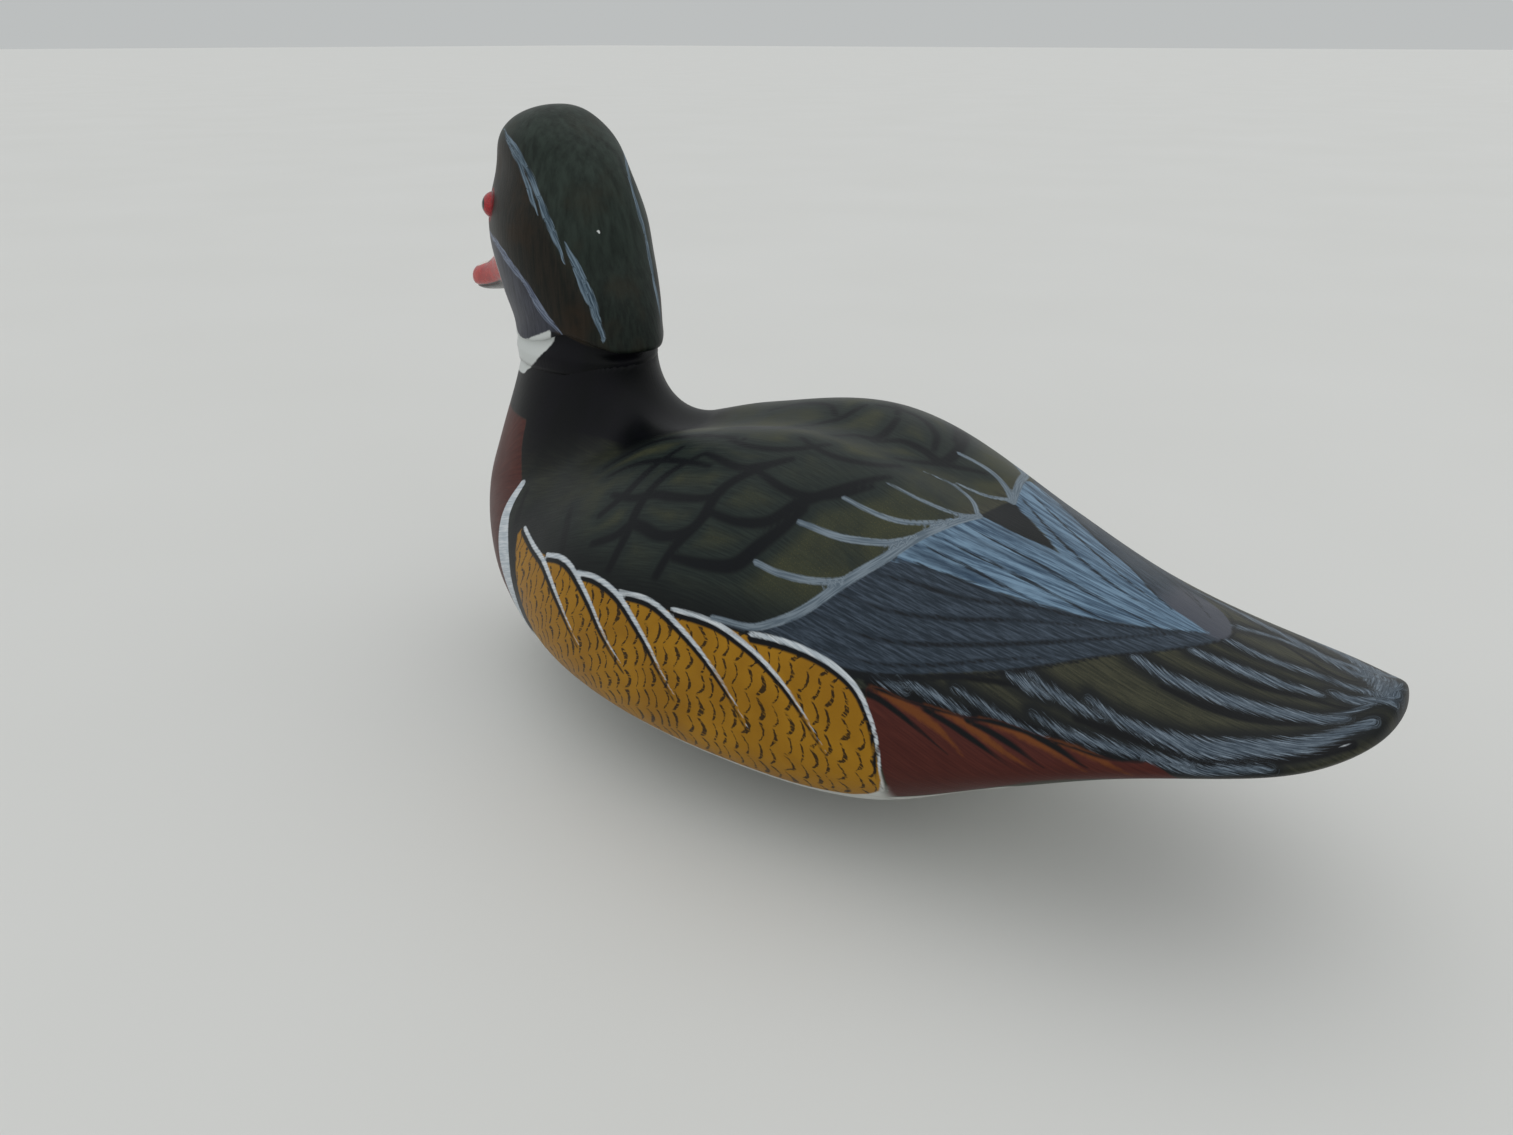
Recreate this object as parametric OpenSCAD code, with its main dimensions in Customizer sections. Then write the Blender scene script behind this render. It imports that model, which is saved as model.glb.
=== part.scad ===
// Floating duck decoy: a hollow carved wooden drake with a separate head, bottom board,
// weighted keel and a ring for the anchor line. +Z is up, the bill points towards -Y,
// and Z = 0 is the underside of the keel. All sizes are in millimetres.

/* [Body] */
// Length from breast to tail tip
body_l = 340; // [300:5:380]
// Greatest width
body_w = 155; // [140:1:175]
// Height of the back above the flat bottom
body_h = 102; // [96:1:108]
// Thickness of the bottom board
board_t = 15; // [13:0.5:17]
// Wood left round the hollow at the sides
side_wall = 18; // [16:1:22]
// Wood left above the hollow
top_wall = 14; // [12:1:18]
// Depth of the valley along the middle of the back
groove_d = 5.4; // [0:0.2:7]

/* [Head] */
// Height of the head above the neck joint
head_h = 84; // [80:1:90]
// Half width of the neck at its joint
neck_rx = 23.5; // [22.5:0.5:25]
// Half length of the neck at its joint
neck_ry = 32; // [31:0.5:33.5]
// Height of the neck joint above the flat bottom
neck_h = 107.5; // [104:0.5:112]
// Distance of the neck joint ahead of the middle of the body
neck_ahead = 119; // [116:1:122]
// How far the head is turned to the drake's right
head_turn = 12; // [0:1:20]
// Length of the bill ahead of the neck axis
bill_reach = 75.5; // [72:0.5:80]
// Diameter of each glass eye
eye_d = 10; // [8:0.5:11]

/* [Keel] */
// Height of the keel
keel_h = 16; // [15:1:20]
// Width of the keel
keel_w = 26; // [24:1:32]
// Length of the keel
keel_l = 138; // [130:2:140]
// Diameter of the line hole through the keel
line_hole_d = 6; // [5:0.5:7]
// Length of the lead ballast bar
ballast_l = 80; // [60:2:84]

/* [Line ring] */
// Distance of the screw eye ahead of the middle of the body
eye_ahead = 140; // [138:1:141]
// Mean radius of the ring
ring_r = 6.5; // [6:0.1:7]

/* [Hidden] */
$fn = 48;

glue_gap = 0.05;             // clearance of a part in its hole
over = 1;                    // how far a cutter runs past the face that it cuts
bottom_z = keel_h;
// The middle of the body lies behind the origin, which is midway from bill to tail.
mid_y = round(5 * (neck_ahead + bill_reach * cos(head_turn) - body_l / 2)) / 10;
neck_y = mid_y - neck_ahead;
line_y = mid_y - eye_ahead;
seam_z = bottom_z + board_t;
seat_z = bottom_z + neck_h;

// Outlines along the body: [station, value], with station 0 at the breast and 1 at the tail tip.
// Widths are parts of half the body's width, and heights are parts of the body's height.
half_width_keys = [[0, 0], [0.12, 0.268], [0.25, 0.645], [0.38, 0.96], [0.5, 1], [0.62, 0.855],
    [0.74, 0.628], [0.86, 0.426], [0.94, 0.2], [1, 0]];
top_keys = [[0, 0.452], [0.12, 0.692], [0.22, 0.796], [0.32, 0.846], [0.4, 0.933], [0.5, 1.005],
    [0.62, 0.831], [0.74, 0.655], [0.86, 0.571], [0.95, 0.624], [1, 0.572]];
under_keys = [[0, 0.452], [0.12, 0.174], [0.25, 0.019], [0.36, -0.029], [0.5, -0.038],
    [0.59, -0.021], [0.66, 0.159], [0.74, 0.312], [0.86, 0.443], [1, 0.572]];
widest_keys = [[0, 0.452], [0.12, 0.452], [0.25, 0.362], [0.38, 0.356], [0.5, 0.308], [0.62, 0.327],
    [0.74, 0.442], [0.86, 0.507], [1, 0.572]];
groove_keys = [[0, 0], [0.22, 0], [0.32, 0.65], [0.45, 1], [0.58, 0.55], [0.68, 0], [1, 0]];
square_top_keys = [[0, 2], [0.3, 1.75], [0.5, 2.4], [0.7, 1.6], [1, 2]];
square_under_keys = [[0, 2], [0.3, 2.4], [0.5, 2.6], [0.7, 2.2], [1, 2]];
groove_spread = 15;

// Outlines up the head: [height above the neck joint, distance from the neck axis].
front_keys = [[0, 32], [9, 35], [20, 42.5], [34, 49.8], [47.5, 50.6], [61, 46], [73, 40],
    [80.5, 31], [85, 17]];
crest_keys = [[0, 40], [9, 38.4], [20, 34.6], [34, 28.2], [47.5, 24.6], [61, 20.3], [73, 12],
    [80.5, 2], [85, -8]];
side_keys = [[0, 23.5], [9, 22.5], [20, 24], [34, 25.4], [47.5, 24.6], [61, 20.6], [73, 18.3],
    [80.5, 13.8], [85, 4]];
middle_keys = [[0, 0], [9, -1], [20, 0], [34, 3], [47.5, 4], [61, 5], [73, 8.5], [80.5, 10],
    [85, 9]];
head_keys_h = 85;            // height that the head's outlines are written for
crest_ledge = [7.6, 9.6];    // heights between which the crest steps out over the neck
head_levels = [0, 4, 7.6, 8.2, 8.8, 9.6, 11.5, 15, 20, 26, 32, 38, 44, 50, 56, 62, 67.5, 72.5,
    76.5, 79.6, 81.8, 83.4, 84.5];
// Bill: [part of the way to the tip, half width, top, underside], heights above the neck joint.
bill_keys = [[0.5, 12, 40, 16], [0.6, 10.8, 35.5, 15], [0.7, 9.4, 29.5, 14], [0.8, 8.6, 24.6, 13],
    [0.9, 8.2, 21.4, 11.8], [0.96, 7, 19.6, 11.2], [0.99, 4.4, 17.6, 12]];
bill_tip_h = 14.6;

// Where things are on the neck, along the head's own axis, with + towards the bill.
dowel_at = 14;
dowel_r = 5;
dowel_down = 16;
dowel_up = 20;
screw_at = -8;
screw_r = 2.5;
screw_up = 32;
screw_head_r = 5;
screw_head_h = 3.2;
washer_r = 8;
washer_t = 1.4;
neck_wood = 27;              // wood between the washer and the neck joint

// Eyes, in the head's own frame: ahead of the neck axis, out to the side, above the joint.
eye_place = [30.5, 19.2, 49.6];
eye_swing = 22;              // how far an eye faces forward of straight sideways
eye_lift = 8;                // how far it faces up
eye_proud = 2.5;
eye_r = eye_d / 2;
eye_back = 1.5;              // from the eye's centre to its flat back
putty_t = 2.5;

// Bottom board screws, by station along the body, mirrored to both sides.
board_screw_stations = [0.31, 0.45, 0.59];
board_screw_inset = 12;
board_screw_r = 1.6;
board_screw_head_r = 3.4;
board_screw_head_h = 2.2;
board_screw_l = 22;
plug_r = 3.9;
plug_t = 5;

keel_y = mid_y - 23;         // middle of the keel
keel_nose = [[0, 16], [2, 8], [7, 2], [13, 0]];
keel_screw_y = [mid_y - 71, mid_y + 30];
keel_screw_r = 2;
keel_bore_r = 5.2;
keel_bore_h = 6;
keel_washer_r = 5;
keel_washer_t = 1;
keel_head_r = 3.7;
keel_head_h = 2.6;
keel_screw_top = 27;
line_hole_y = mid_y - 82;
line_hole_z = 9;
ballast_w = 14;
ballast_h = 10;
ballast_y = mid_y - 20;
ballast_recess = 0.8;
ballast_screw_r = 1.8;
ballast_screw_head_r = 3.8;
ballast_screw_head_h = 2.4;
ballast_screw_top = 25;
ballast_screw_step = 50;

loop_r = 4;                  // mean radius of the screw eye's loop
loop_wire_r = 1;
ring_wire_r = 1.2;
ring_gap = 0.2;
shank_in = 16;               // length of the screw eye's shank from its loop

// ---- Curves ----

// The slope of a smooth curve at key i.
function slope(keys, i) =
    let (a = keys[max(i - 1, 0)], b = keys[min(i + 1, len(keys) - 1)])
    (b[1] - a[1]) / (b[0] - a[0]);

// Which span of the keys holds t.
function span(keys, t, i = 0) = i >= len(keys) - 2 || t < keys[i + 1][0] ? i : span(keys, t, i + 1);

// The smooth curve through the keys, at t.
function along(keys, t) =
    let (
        i = span(keys, t),
        step = keys[i + 1][0] - keys[i][0],
        s = (t - keys[i][0]) / step,
        s2 = s * s,
        s3 = s2 * s
    )
    (2 * s3 - 3 * s2 + 1) * keys[i][1] + (s3 - 2 * s2 + s) * step * slope(keys, i)
        + (3 * s2 - 2 * s3) * keys[i + 1][1] + (s3 - s2) * step * slope(keys, i + 1);

// A signed power, for the corners of a rounded outline.
function bend(v, e) = sign(v) * pow(abs(v), 2 / e);

function smooth_step(a, b, v) = let (s = min(max((v - a) / (b - a), 0), 1)) s * s * (3 - 2 * s);

// Faces of a closed loft of n rings with m points each, the first and last closed by a point.
function loft_faces(n, m) = concat(
    [for (j = [0:m - 1]) [n * m, j, (j + 1) % m]],
    [for (i = [0:n - 2], j = [0:m - 1]) [i * m + (j + 1) % m, i * m + j, (i + 1) * m + j]],
    [for (i = [0:n - 2], j = [0:m - 1])
        [(i + 1) * m + (j + 1) % m, i * m + (j + 1) % m, (i + 1) * m + j]],
    [for (j = [0:m - 1]) [n * m + 1, (n - 1) * m + (j + 1) % m, (n - 1) * m + j]]
);

// ---- Body ----

function station_y(t) = mid_y - body_l / 2 * cos(180 * t);

function y_station(y) = acos(2 * (mid_y - y) / body_l) / 180;

function half_width(t) = body_w / 2 * along(half_width_keys, t);

function top_height(t) = bottom_z + body_h * along(top_keys, t);

function under_height(t) = bottom_z + body_h * along(under_keys, t);

function widest_height(t) = bottom_z + body_h * along(widest_keys, t);

// Half width of the hull at a height below its widest place.
function half_width_at(t, z) =
    let (
        e = along(square_under_keys, t),
        rise = (widest_height(t) - z) / (widest_height(t) - under_height(t))
    )
    half_width(t) * pow(1 - pow(rise, e), 1 / e);

// A point of the plain hull, at angle a round its girth: 0 is the top, 180 the bottom.
function hull_point(t, a) =
    let (
        up = cos(a) >= 0,
        e = along(up ? square_top_keys : square_under_keys, t),
        mid = widest_height(t),
        x = half_width(t) * bend(sin(a), e),
        reach = up ? top_height(t) - mid : mid - under_height(t),
        dip = up ? groove_d * along(groove_keys, t) * exp(-pow(x / groove_spread, 2)) : 0
    )
    [x, station_y(t), max(mid + reach * bend(cos(a), e) - dip, bottom_z)];

// The neck base: the seat is flat inside the neck's outline, a round fillet runs out from it,
// and past neck_fade the hull is as it was. Distances are in neck radii.
seat_edge = 0.85;
fillet_edge = 1.6;
fillet_reach = 1.75;
neck_fade = 2.6;
neck_tuck = 0.985;
seat_drop = 0.02;            // the hull stays this far under the joint, inside the neck's base
lift_from = [60, 85];        // the hull below the first height is never lifted
spread_from = [85, 100];     // nor is it spread below this first height

function fillet_turn(q) = 90 * min(max((q - seat_edge) / (fillet_edge - seat_edge), 0), 1);

function fillet_radius(q) =
    q < seat_edge ? q / seat_edge * neck_tuck
    : q < fillet_edge ? neck_tuck + (fillet_reach - neck_tuck) * (1 - cos(fillet_turn(q)))
    : q < neck_fade ? fillet_reach
        + (q - fillet_edge) * (neck_fade - fillet_reach) / (neck_fade - fillet_edge)
    : q;

function neck_local(x, y) =
    let (dy = y - neck_y, c = cos(head_turn), s = sin(head_turn))
    [(x * c - dy * s) / neck_rx, (x * s + dy * c) / neck_ry];

function neck_world(p) =
    let (u = p[0] * neck_rx, v = p[1] * neck_ry, c = cos(head_turn), s = sin(head_turn))
    [u * c + v * s, -u * s + v * c + neck_y];

function with_neck(p) =
    let (
        q = neck_local(p[0], p[1]),
        r = norm(q),
        grow = r > 0 ? fillet_radius(r) / r : 1,
        spread = smooth_step(spread_from[0], spread_from[1], p[2]),
        moved = neck_world(q * (1 + (grow - 1) * spread)),
        lift = (1 - sin(fillet_turn(r))) * smooth_step(lift_from[0], lift_from[1], p[2])
    )
    [moved[0], moved[1], p[2] + (seat_z - seat_drop - p[2]) * lift];

hull_steps = 46;
hull_sides = 48;

module hull_loft() {
    rings = [for (i = [1:hull_steps - 1], j = [0:hull_sides - 1])
        with_neck(hull_point(i / hull_steps, 360 * j / hull_sides))];
    ends = [[0, station_y(0), widest_height(0)], [0, station_y(1), widest_height(1)]];
    polyhedron(concat(rings, ends), loft_faces(hull_steps - 1, hull_sides));
}

// The straight part of the neck's base, which gives the joint a true flat oval.
module neck_stub(height) {
    translate([0, neck_y, seat_z - height])
        rotate([0, 0, -head_turn])
            scale([neck_rx, neck_ry, 1])
                cylinder(r = 1, h = height, $fn = 72);
}

// The hollow: the hull's outline drawn in by the walls, closed at both ends.
hollow_y = [mid_y - 126, mid_y + 84];
hollow_steps = 20;
hollow_sides = 28;

function hollow_point(s, a) =
    let (
        y = (hollow_y[0] + hollow_y[1]) / 2 - (hollow_y[1] - hollow_y[0]) / 2 * cos(180 * s),
        t = y_station(y),
        close = pow(sin(180 * s), 0.6),
        roof = min(top_height(t) - groove_d - top_wall, seat_z - neck_wood + 1),
        x = (half_width_at(t, seam_z) - side_wall) * close * bend(sin(a), 3),
        rise = (roof - seam_z) * close * bend(cos(a), 2.6)
    )
    [x, y, seam_z + (cos(a) >= 0 ? rise : rise * 0.3)];

module hollow_loft() {
    rings = [for (i = [1:hollow_steps - 1], j = [0:hollow_sides - 1])
        hollow_point(i / hollow_steps, 360 * j / hollow_sides)];
    ends = [[0, hollow_y[0], seam_z], [0, hollow_y[1], seam_z]];
    polyhedron(concat(rings, ends), loft_faces(hollow_steps - 1, hollow_sides));
}

// Everything above or below the seam.
module seam_block(above) {
    translate([-body_w, -body_l, above ? seam_z : seam_z - 2 * body_w])
        cube([2 * body_w, 2 * body_l, 2 * body_w]);
}

module board_screw_spots() {
    for (t = board_screw_stations, side = [-1, 1])
        translate([side * (half_width_at(t, seam_z) - board_screw_inset), station_y(t), 0])
            children();
}

// Height of the hull's underside at a board screw.
function under_at(t, x) =
    let (
        e = along(square_under_keys, t),
        mid = widest_height(t),
        part = pow(1 - pow(x / half_width(t), e), 1 / e)
    )
    max(mid - (mid - under_height(t)) * part, bottom_z);

plug_top = max([for (t = board_screw_stations)
    under_at(t, half_width_at(t, seam_z) - board_screw_inset)]) + plug_t / 2;

// Places things along the head's own axis, from the neck joint.
module head_frame() {
    translate([0, neck_y, seat_z])
        rotate([0, 0, -head_turn])
            children();
}

module body_shell() {
    color("darkolivegreen")
        difference() {
            resize([0, 0, 0])
                difference() {
                    union() {
                        hull_loft();
                        neck_stub(20);
                    }
                    seam_block(false);
                    hollow_loft();
                }
            head_frame() {
                translate([0, -dowel_at, -dowel_down - glue_gap])
                    cylinder(r = dowel_r + glue_gap, h = dowel_down + glue_gap + over);
                translate([0, -screw_at, -neck_wood - over])
                    cylinder(r = screw_r + glue_gap, h = neck_wood + 2 * over);
                translate([0, -screw_at, -neck_wood - 12])
                    cylinder(r = washer_r + glue_gap, h = 12);
            }
            board_screw_spots()
                translate([0, 0, seam_z - over])
                    cylinder(r = board_screw_r + glue_gap, h = board_screw_l);
            translate([0, line_y, seam_z - over])
                cylinder(r = loop_wire_r + glue_gap, h = shank_in - board_t / 2);
        }
}

module bottom_board() {
    color("gainsboro")
        difference() {
            resize([0, 0, 0])
                difference() {
                    hull_loft();
                    seam_block(true);
                }
            board_screw_spots() {
                cylinder(r = plug_r + glue_gap, h = plug_top);
                translate([0, 0, plug_top - glue_gap])
                    cylinder(r1 = board_screw_head_r + glue_gap, r2 = board_screw_r + glue_gap,
                        h = board_screw_head_h + glue_gap);
                cylinder(r = board_screw_r + glue_gap, h = seam_z + over);
            }
            for (y = keel_screw_y)
                translate([0, y, 0])
                    cylinder(r = keel_screw_r + glue_gap, h = keel_screw_top + glue_gap);
            ballast_screw_spots()
                cylinder(r = ballast_screw_r + glue_gap, h = ballast_screw_top + glue_gap);
            translate([0, line_y, 0])
                cylinder(r = loop_wire_r + glue_gap, h = seam_z + over);
        }
}

module board_screws() {
    color("goldenrod")
        board_screw_spots()
            translate([0, 0, plug_top])
                rotate_extrude()
                    polygon([[0, 0], [board_screw_head_r, 0], [board_screw_r, board_screw_head_h],
                        [board_screw_r, board_screw_l - 4], [0, board_screw_l]]);
}

// Wooden plugs over the screws, cut flush with the hull.
module board_plugs() {
    color("burlywood")
        resize([0, 0, 0])
            intersection() {
                hull_loft();
                board_screw_spots()
                    cylinder(r = plug_r, h = plug_top - glue_gap, $fn = 32);
            }
}

// ---- Head ----

function head_scale() = head_h / head_keys_h;

// A point of the head at height h, at angle a round the neck axis: 0 faces the bill.
function head_point(h, a) =
    let (
        ahead = cos(a) >= 0,
        step_out = smooth_step(crest_ledge[0], crest_ledge[1], h),
        neck_back = neck_ry - 0.5 * sin(min(h, 8) * 22.5),
        back = neck_back + (along(crest_keys, h) - neck_back) * step_out,
        mid = along(middle_keys, h),
        front = along(front_keys, h) + (neck_ry - front_keys[0][1]) * (1 - smooth_step(0, 20, h)),
        side = along(side_keys, h) + (neck_rx - side_keys[0][1]) * (1 - smooth_step(0, 20, h)),
        e = ahead ? 2 - 0.2 * smooth_step(9, 34, h) : 2 + 0.2 * smooth_step(9, 34, h),
        reach = ahead ? front - mid : mid + back
    )
    [side * bend(sin(a), e), -(mid + reach * bend(cos(a), e)), h * head_scale()];

head_sides = 44;

module head_loft() {
    rings = [for (h = head_levels, j = [0:head_sides - 1]) head_point(h, 360 * j / head_sides)];
    ends = [[0, 0, 0], [0, -9, head_h]];
    polyhedron(concat(rings, ends), loft_faces(len(head_levels), head_sides));
}

bill_sides = 24;

function bill_point(k, a) =
    [-k[1] * bend(sin(a), 2.2), -bill_reach * k[0],
        (k[2] + k[3]) / 2 + (k[2] - k[3]) / 2 * bend(cos(a), 2.2)];

module bill_loft() {
    rings = [for (k = bill_keys, j = [0:bill_sides - 1]) bill_point(k, 360 * (j + 0.5) / bill_sides)];
    first = bill_keys[0];
    ends = [[0, -bill_reach * first[0], (first[2] + first[3]) / 2], [0, -bill_reach, bill_tip_h]];
    polyhedron(concat(rings, ends), loft_faces(len(bill_keys), bill_sides));
}

// Stands at an eye's centre, with +Z facing straight out of it.
module eye_frame(side) {
    head_frame()
        translate([side * eye_place[1], -eye_place[0], eye_place[2]])
            rotate([0, 0, side > 0 ? -eye_swing : 180 + eye_swing])
                rotate([0, 90 - eye_lift, 0])
                    translate([0, 0, eye_proud - eye_r])
                        children();
}

module eye_socket() {
    translate([0, 0, -eye_back - putty_t - 2 * glue_gap])
        cylinder(r = eye_r + glue_gap, h = eye_back + putty_t + eye_r);
}

module head() {
    color("darkslategray")
        difference() {
            head_frame()
                resize([0, 0, 0])
                    union() {
                        head_loft();
                        bill_loft();
                    }
            head_frame() {
                translate([0, -dowel_at, -over])
                    cylinder(r = dowel_r + glue_gap, h = dowel_up + glue_gap + over);
                translate([0, -screw_at, -over])
                    cylinder(r = screw_r + glue_gap, h = screw_up + glue_gap + over);
            }
            eye_frame(1) eye_socket();
            eye_frame(-1) eye_socket();
        }
}

module neck_dowel() {
    color("tan")
        head_frame()
            translate([0, -dowel_at, -dowel_down])
                cylinder(r = dowel_r, h = dowel_down + dowel_up);
}

module head_screw() {
    color("silver")
        head_frame()
            translate([0, -screw_at, -neck_wood - washer_t - screw_head_h])
                rotate_extrude()
                    polygon([[0, 0], [screw_head_r - 1, 0], [screw_head_r, 1],
                        [screw_head_r, screw_head_h], [screw_r, screw_head_h],
                        [screw_r, neck_wood + washer_t + screw_head_h + screw_up - 5],
                        [0, neck_wood + washer_t + screw_head_h + screw_up]]);
}

module head_washer() {
    color("gray")
        head_frame()
            translate([0, -screw_at, -neck_wood - washer_t])
                difference() {
                    cylinder(r = washer_r, h = washer_t);
                    translate([0, 0, -over])
                        cylinder(r = screw_r + glue_gap, h = washer_t + 2 * over);
                }
}

module glass_eye() {
    color("firebrick")
        difference() {
            sphere(r = eye_r);
            translate([-eye_d, -eye_d, -eye_back - eye_d])
                cube([2 * eye_d, 2 * eye_d, eye_d]);
        }
}

module eye_putty() {
    color("saddlebrown")
        translate([0, 0, -eye_back - putty_t - glue_gap])
            cylinder(r = eye_r, h = putty_t);
}

module left_eye() { eye_frame(1) glass_eye(); }

module right_eye() { eye_frame(-1) glass_eye(); }

module left_eye_putty() { eye_frame(1) eye_putty(); }

module right_eye_putty() { eye_frame(-1) eye_putty(); }

// ---- Keel ----

// Side view of the keel: a plank with both lower corners rounded off.
module keel_outline() {
    ends = keel_l / 2;
    scale_z = keel_h / 16;
    polygon(concat(
        [for (p = keel_nose) [-ends + p[0], p[1] * scale_z]],
        [for (i = [len(keel_nose) - 1:-1:0]) [ends - keel_nose[i][0], keel_nose[i][1] * scale_z]]
    ));
}

module ballast_screw_spots() {
    for (side = [-1, 1])
        translate([0, ballast_y + side * ballast_screw_step / 2, 0])
            children();
}

module keel() {
    color("rosybrown")
        difference() {
            translate([-keel_w / 2, keel_y, 0])
                rotate([90, 0, 90])
                    linear_extrude(keel_w)
                        keel_outline();
            translate([-keel_w, line_hole_y, line_hole_z])
                rotate([0, 90, 0])
                    cylinder(d = line_hole_d, h = 2 * keel_w);
            for (y = keel_screw_y)
                translate([0, y, -over]) {
                    cylinder(r = keel_bore_r, h = keel_bore_h + over);
                    cylinder(r = keel_screw_r + glue_gap, h = keel_h + 2 * over);
                }
            translate([-ballast_w / 2 - glue_gap, ballast_y - ballast_l / 2 - glue_gap, -over])
                cube([ballast_w + 2 * glue_gap, ballast_l + 2 * glue_gap,
                    ballast_recess + ballast_h + glue_gap + over]);
            ballast_screw_spots()
                cylinder(r = ballast_screw_r + glue_gap, h = keel_h + over);
        }
}

module keel_screws() {
    head_z = keel_bore_h - keel_washer_t - keel_head_h;
    color("goldenrod")
        for (y = keel_screw_y)
            translate([0, y, head_z])
                rotate_extrude()
                    polygon([[0, 0], [keel_head_r - 0.8, 0], [keel_head_r, 0.8],
                        [keel_head_r, keel_head_h], [keel_screw_r, keel_head_h],
                        [keel_screw_r, keel_screw_top - head_z - 4],
                        [0, keel_screw_top - head_z]]);
}

module keel_washers() {
    color("gray")
        for (y = keel_screw_y)
            translate([0, y, keel_bore_h - keel_washer_t])
                difference() {
                    cylinder(r = keel_washer_r, h = keel_washer_t);
                    translate([0, 0, -over])
                        cylinder(r = keel_screw_r + glue_gap, h = keel_washer_t + 2 * over);
                }
}

module keel_ballast() {
    color("dimgray")
        difference() {
            translate([-ballast_w / 2, ballast_y - ballast_l / 2, ballast_recess])
                cube([ballast_w, ballast_l, ballast_h]);
            ballast_screw_spots() {
                cylinder(r = ballast_screw_r + glue_gap, h = keel_h);
                translate([0, 0, ballast_recess])
                    cylinder(r1 = ballast_screw_head_r + glue_gap, r2 = ballast_screw_r + glue_gap,
                        h = ballast_screw_head_h);
            }
        }
}

module ballast_screws() {
    color("goldenrod")
        ballast_screw_spots()
            translate([0, 0, ballast_recess])
                rotate_extrude()
                    polygon([[0, 0], [ballast_screw_head_r, 0],
                        [ballast_screw_r, ballast_screw_head_h],
                        [ballast_screw_r, ballast_screw_top - ballast_recess - 4],
                        [0, ballast_screw_top - ballast_recess]]);
}

// ---- Anchor line ring ----

// The hull's underside at the screw eye, and the middle of its loop.
eye_under = under_height(y_station(line_y));
loop_z = eye_under - loop_r - loop_wire_r - 1;
// The middle of the ring's wire where it hangs in the loop: the ring swings about it.
hang_z = loop_z - loop_r + loop_wire_r + ring_wire_r + ring_gap;

module wire_ring(r, wire_r) {
    rotate_extrude()
        translate([r, 0])
            circle(r = wire_r);
}

module line_eye() {
    color("gold")
        translate([0, line_y, loop_z]) {
            rotate([0, 90, 0])
                wire_ring(loop_r, loop_wire_r);
            translate([0, 0, loop_r])
                cylinder(r = loop_wire_r, h = shank_in);
        }
}

module line_ring() {
    color("gold")
        translate([0, line_y, hang_z - ring_r])
            rotate([90, 0, 0])
                wire_ring(ring_r, ring_wire_r);
}

body_shell();
bottom_board();
board_screws();
board_plugs();
head();
neck_dowel();
head_screw();
head_washer();
left_eye();
right_eye();
left_eye_putty();
right_eye_putty();
keel();
keel_screws();
keel_washers();
keel_ballast();
ballast_screws();
line_eye();
line_ring();
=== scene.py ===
"""Looks of a floating duck decoy: carved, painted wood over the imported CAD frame.

Lengths in the shape code are millimetres in the CAD frame, and become metres in make_mesh.
"""
import math

import bmesh
import bpy
import numpy as np
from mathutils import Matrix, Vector


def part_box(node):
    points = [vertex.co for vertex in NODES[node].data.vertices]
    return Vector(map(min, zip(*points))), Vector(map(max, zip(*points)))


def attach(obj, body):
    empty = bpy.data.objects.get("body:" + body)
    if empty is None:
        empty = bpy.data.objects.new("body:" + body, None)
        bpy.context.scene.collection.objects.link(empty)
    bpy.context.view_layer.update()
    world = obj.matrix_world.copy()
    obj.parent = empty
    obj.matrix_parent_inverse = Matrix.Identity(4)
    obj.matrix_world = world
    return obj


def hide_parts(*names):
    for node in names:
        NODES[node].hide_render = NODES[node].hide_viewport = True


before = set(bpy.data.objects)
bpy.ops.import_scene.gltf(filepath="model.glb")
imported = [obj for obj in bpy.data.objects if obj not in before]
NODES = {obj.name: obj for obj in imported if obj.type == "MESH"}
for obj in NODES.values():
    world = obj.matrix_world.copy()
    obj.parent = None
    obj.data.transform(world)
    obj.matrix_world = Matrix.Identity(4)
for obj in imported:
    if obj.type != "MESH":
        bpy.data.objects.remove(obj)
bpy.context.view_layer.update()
MM = 0.001


def box_mm(node):
    low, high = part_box(node)
    return np.array(low) / MM, np.array(high) / MM


# ---- The hull, with the CAD's own outlines ----

SHELL_LOW, SHELL_HIGH = box_mm("body_shell")
BOARD_LOW, BOARD_HIGH = box_mm("bottom_board")
BODY_LENGTH = SHELL_HIGH[1] - SHELL_LOW[1]
MIDDLE_Y = (SHELL_HIGH[1] + SHELL_LOW[1]) / 2
BODY_WIDTH = 155.0
BODY_HEIGHT = 102.0
BOTTOM_Z = BOARD_LOW[2]
SEAM_Z = BOARD_HIGH[2]
SEAT_Z = SHELL_HIGH[2]
GROOVE_DEPTH = 5.4
GROOVE_SPREAD = 15.0

# The body's outline, as in part.scad: the share of its length, and the share of its half width or
# height. All but GROOVE and SQUARE_UNDER are the output of a program that fitted them to the photo.
HALF_WIDTH = [(0, 0), (0.12, 0.268), (0.25, 0.645), (0.38, 0.96), (0.5, 1), (0.62, 0.855),
              (0.74, 0.628), (0.86, 0.426), (0.94, 0.2), (1, 0)]
TOP = [(0, 0.452), (0.12, 0.692), (0.22, 0.796), (0.32, 0.846), (0.4, 0.933), (0.5, 1.005),
       (0.62, 0.831), (0.74, 0.655), (0.86, 0.571), (0.95, 0.624), (1, 0.572)]
UNDER = [(0, 0.452), (0.12, 0.174), (0.25, 0.019), (0.36, -0.029), (0.5, -0.038),
         (0.59, -0.021), (0.66, 0.159), (0.74, 0.312), (0.86, 0.443), (1, 0.572)]
WIDEST = [(0, 0.452), (0.12, 0.452), (0.25, 0.362), (0.38, 0.356), (0.5, 0.308), (0.62, 0.327),
          (0.74, 0.442), (0.86, 0.507), (1, 0.572)]
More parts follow.
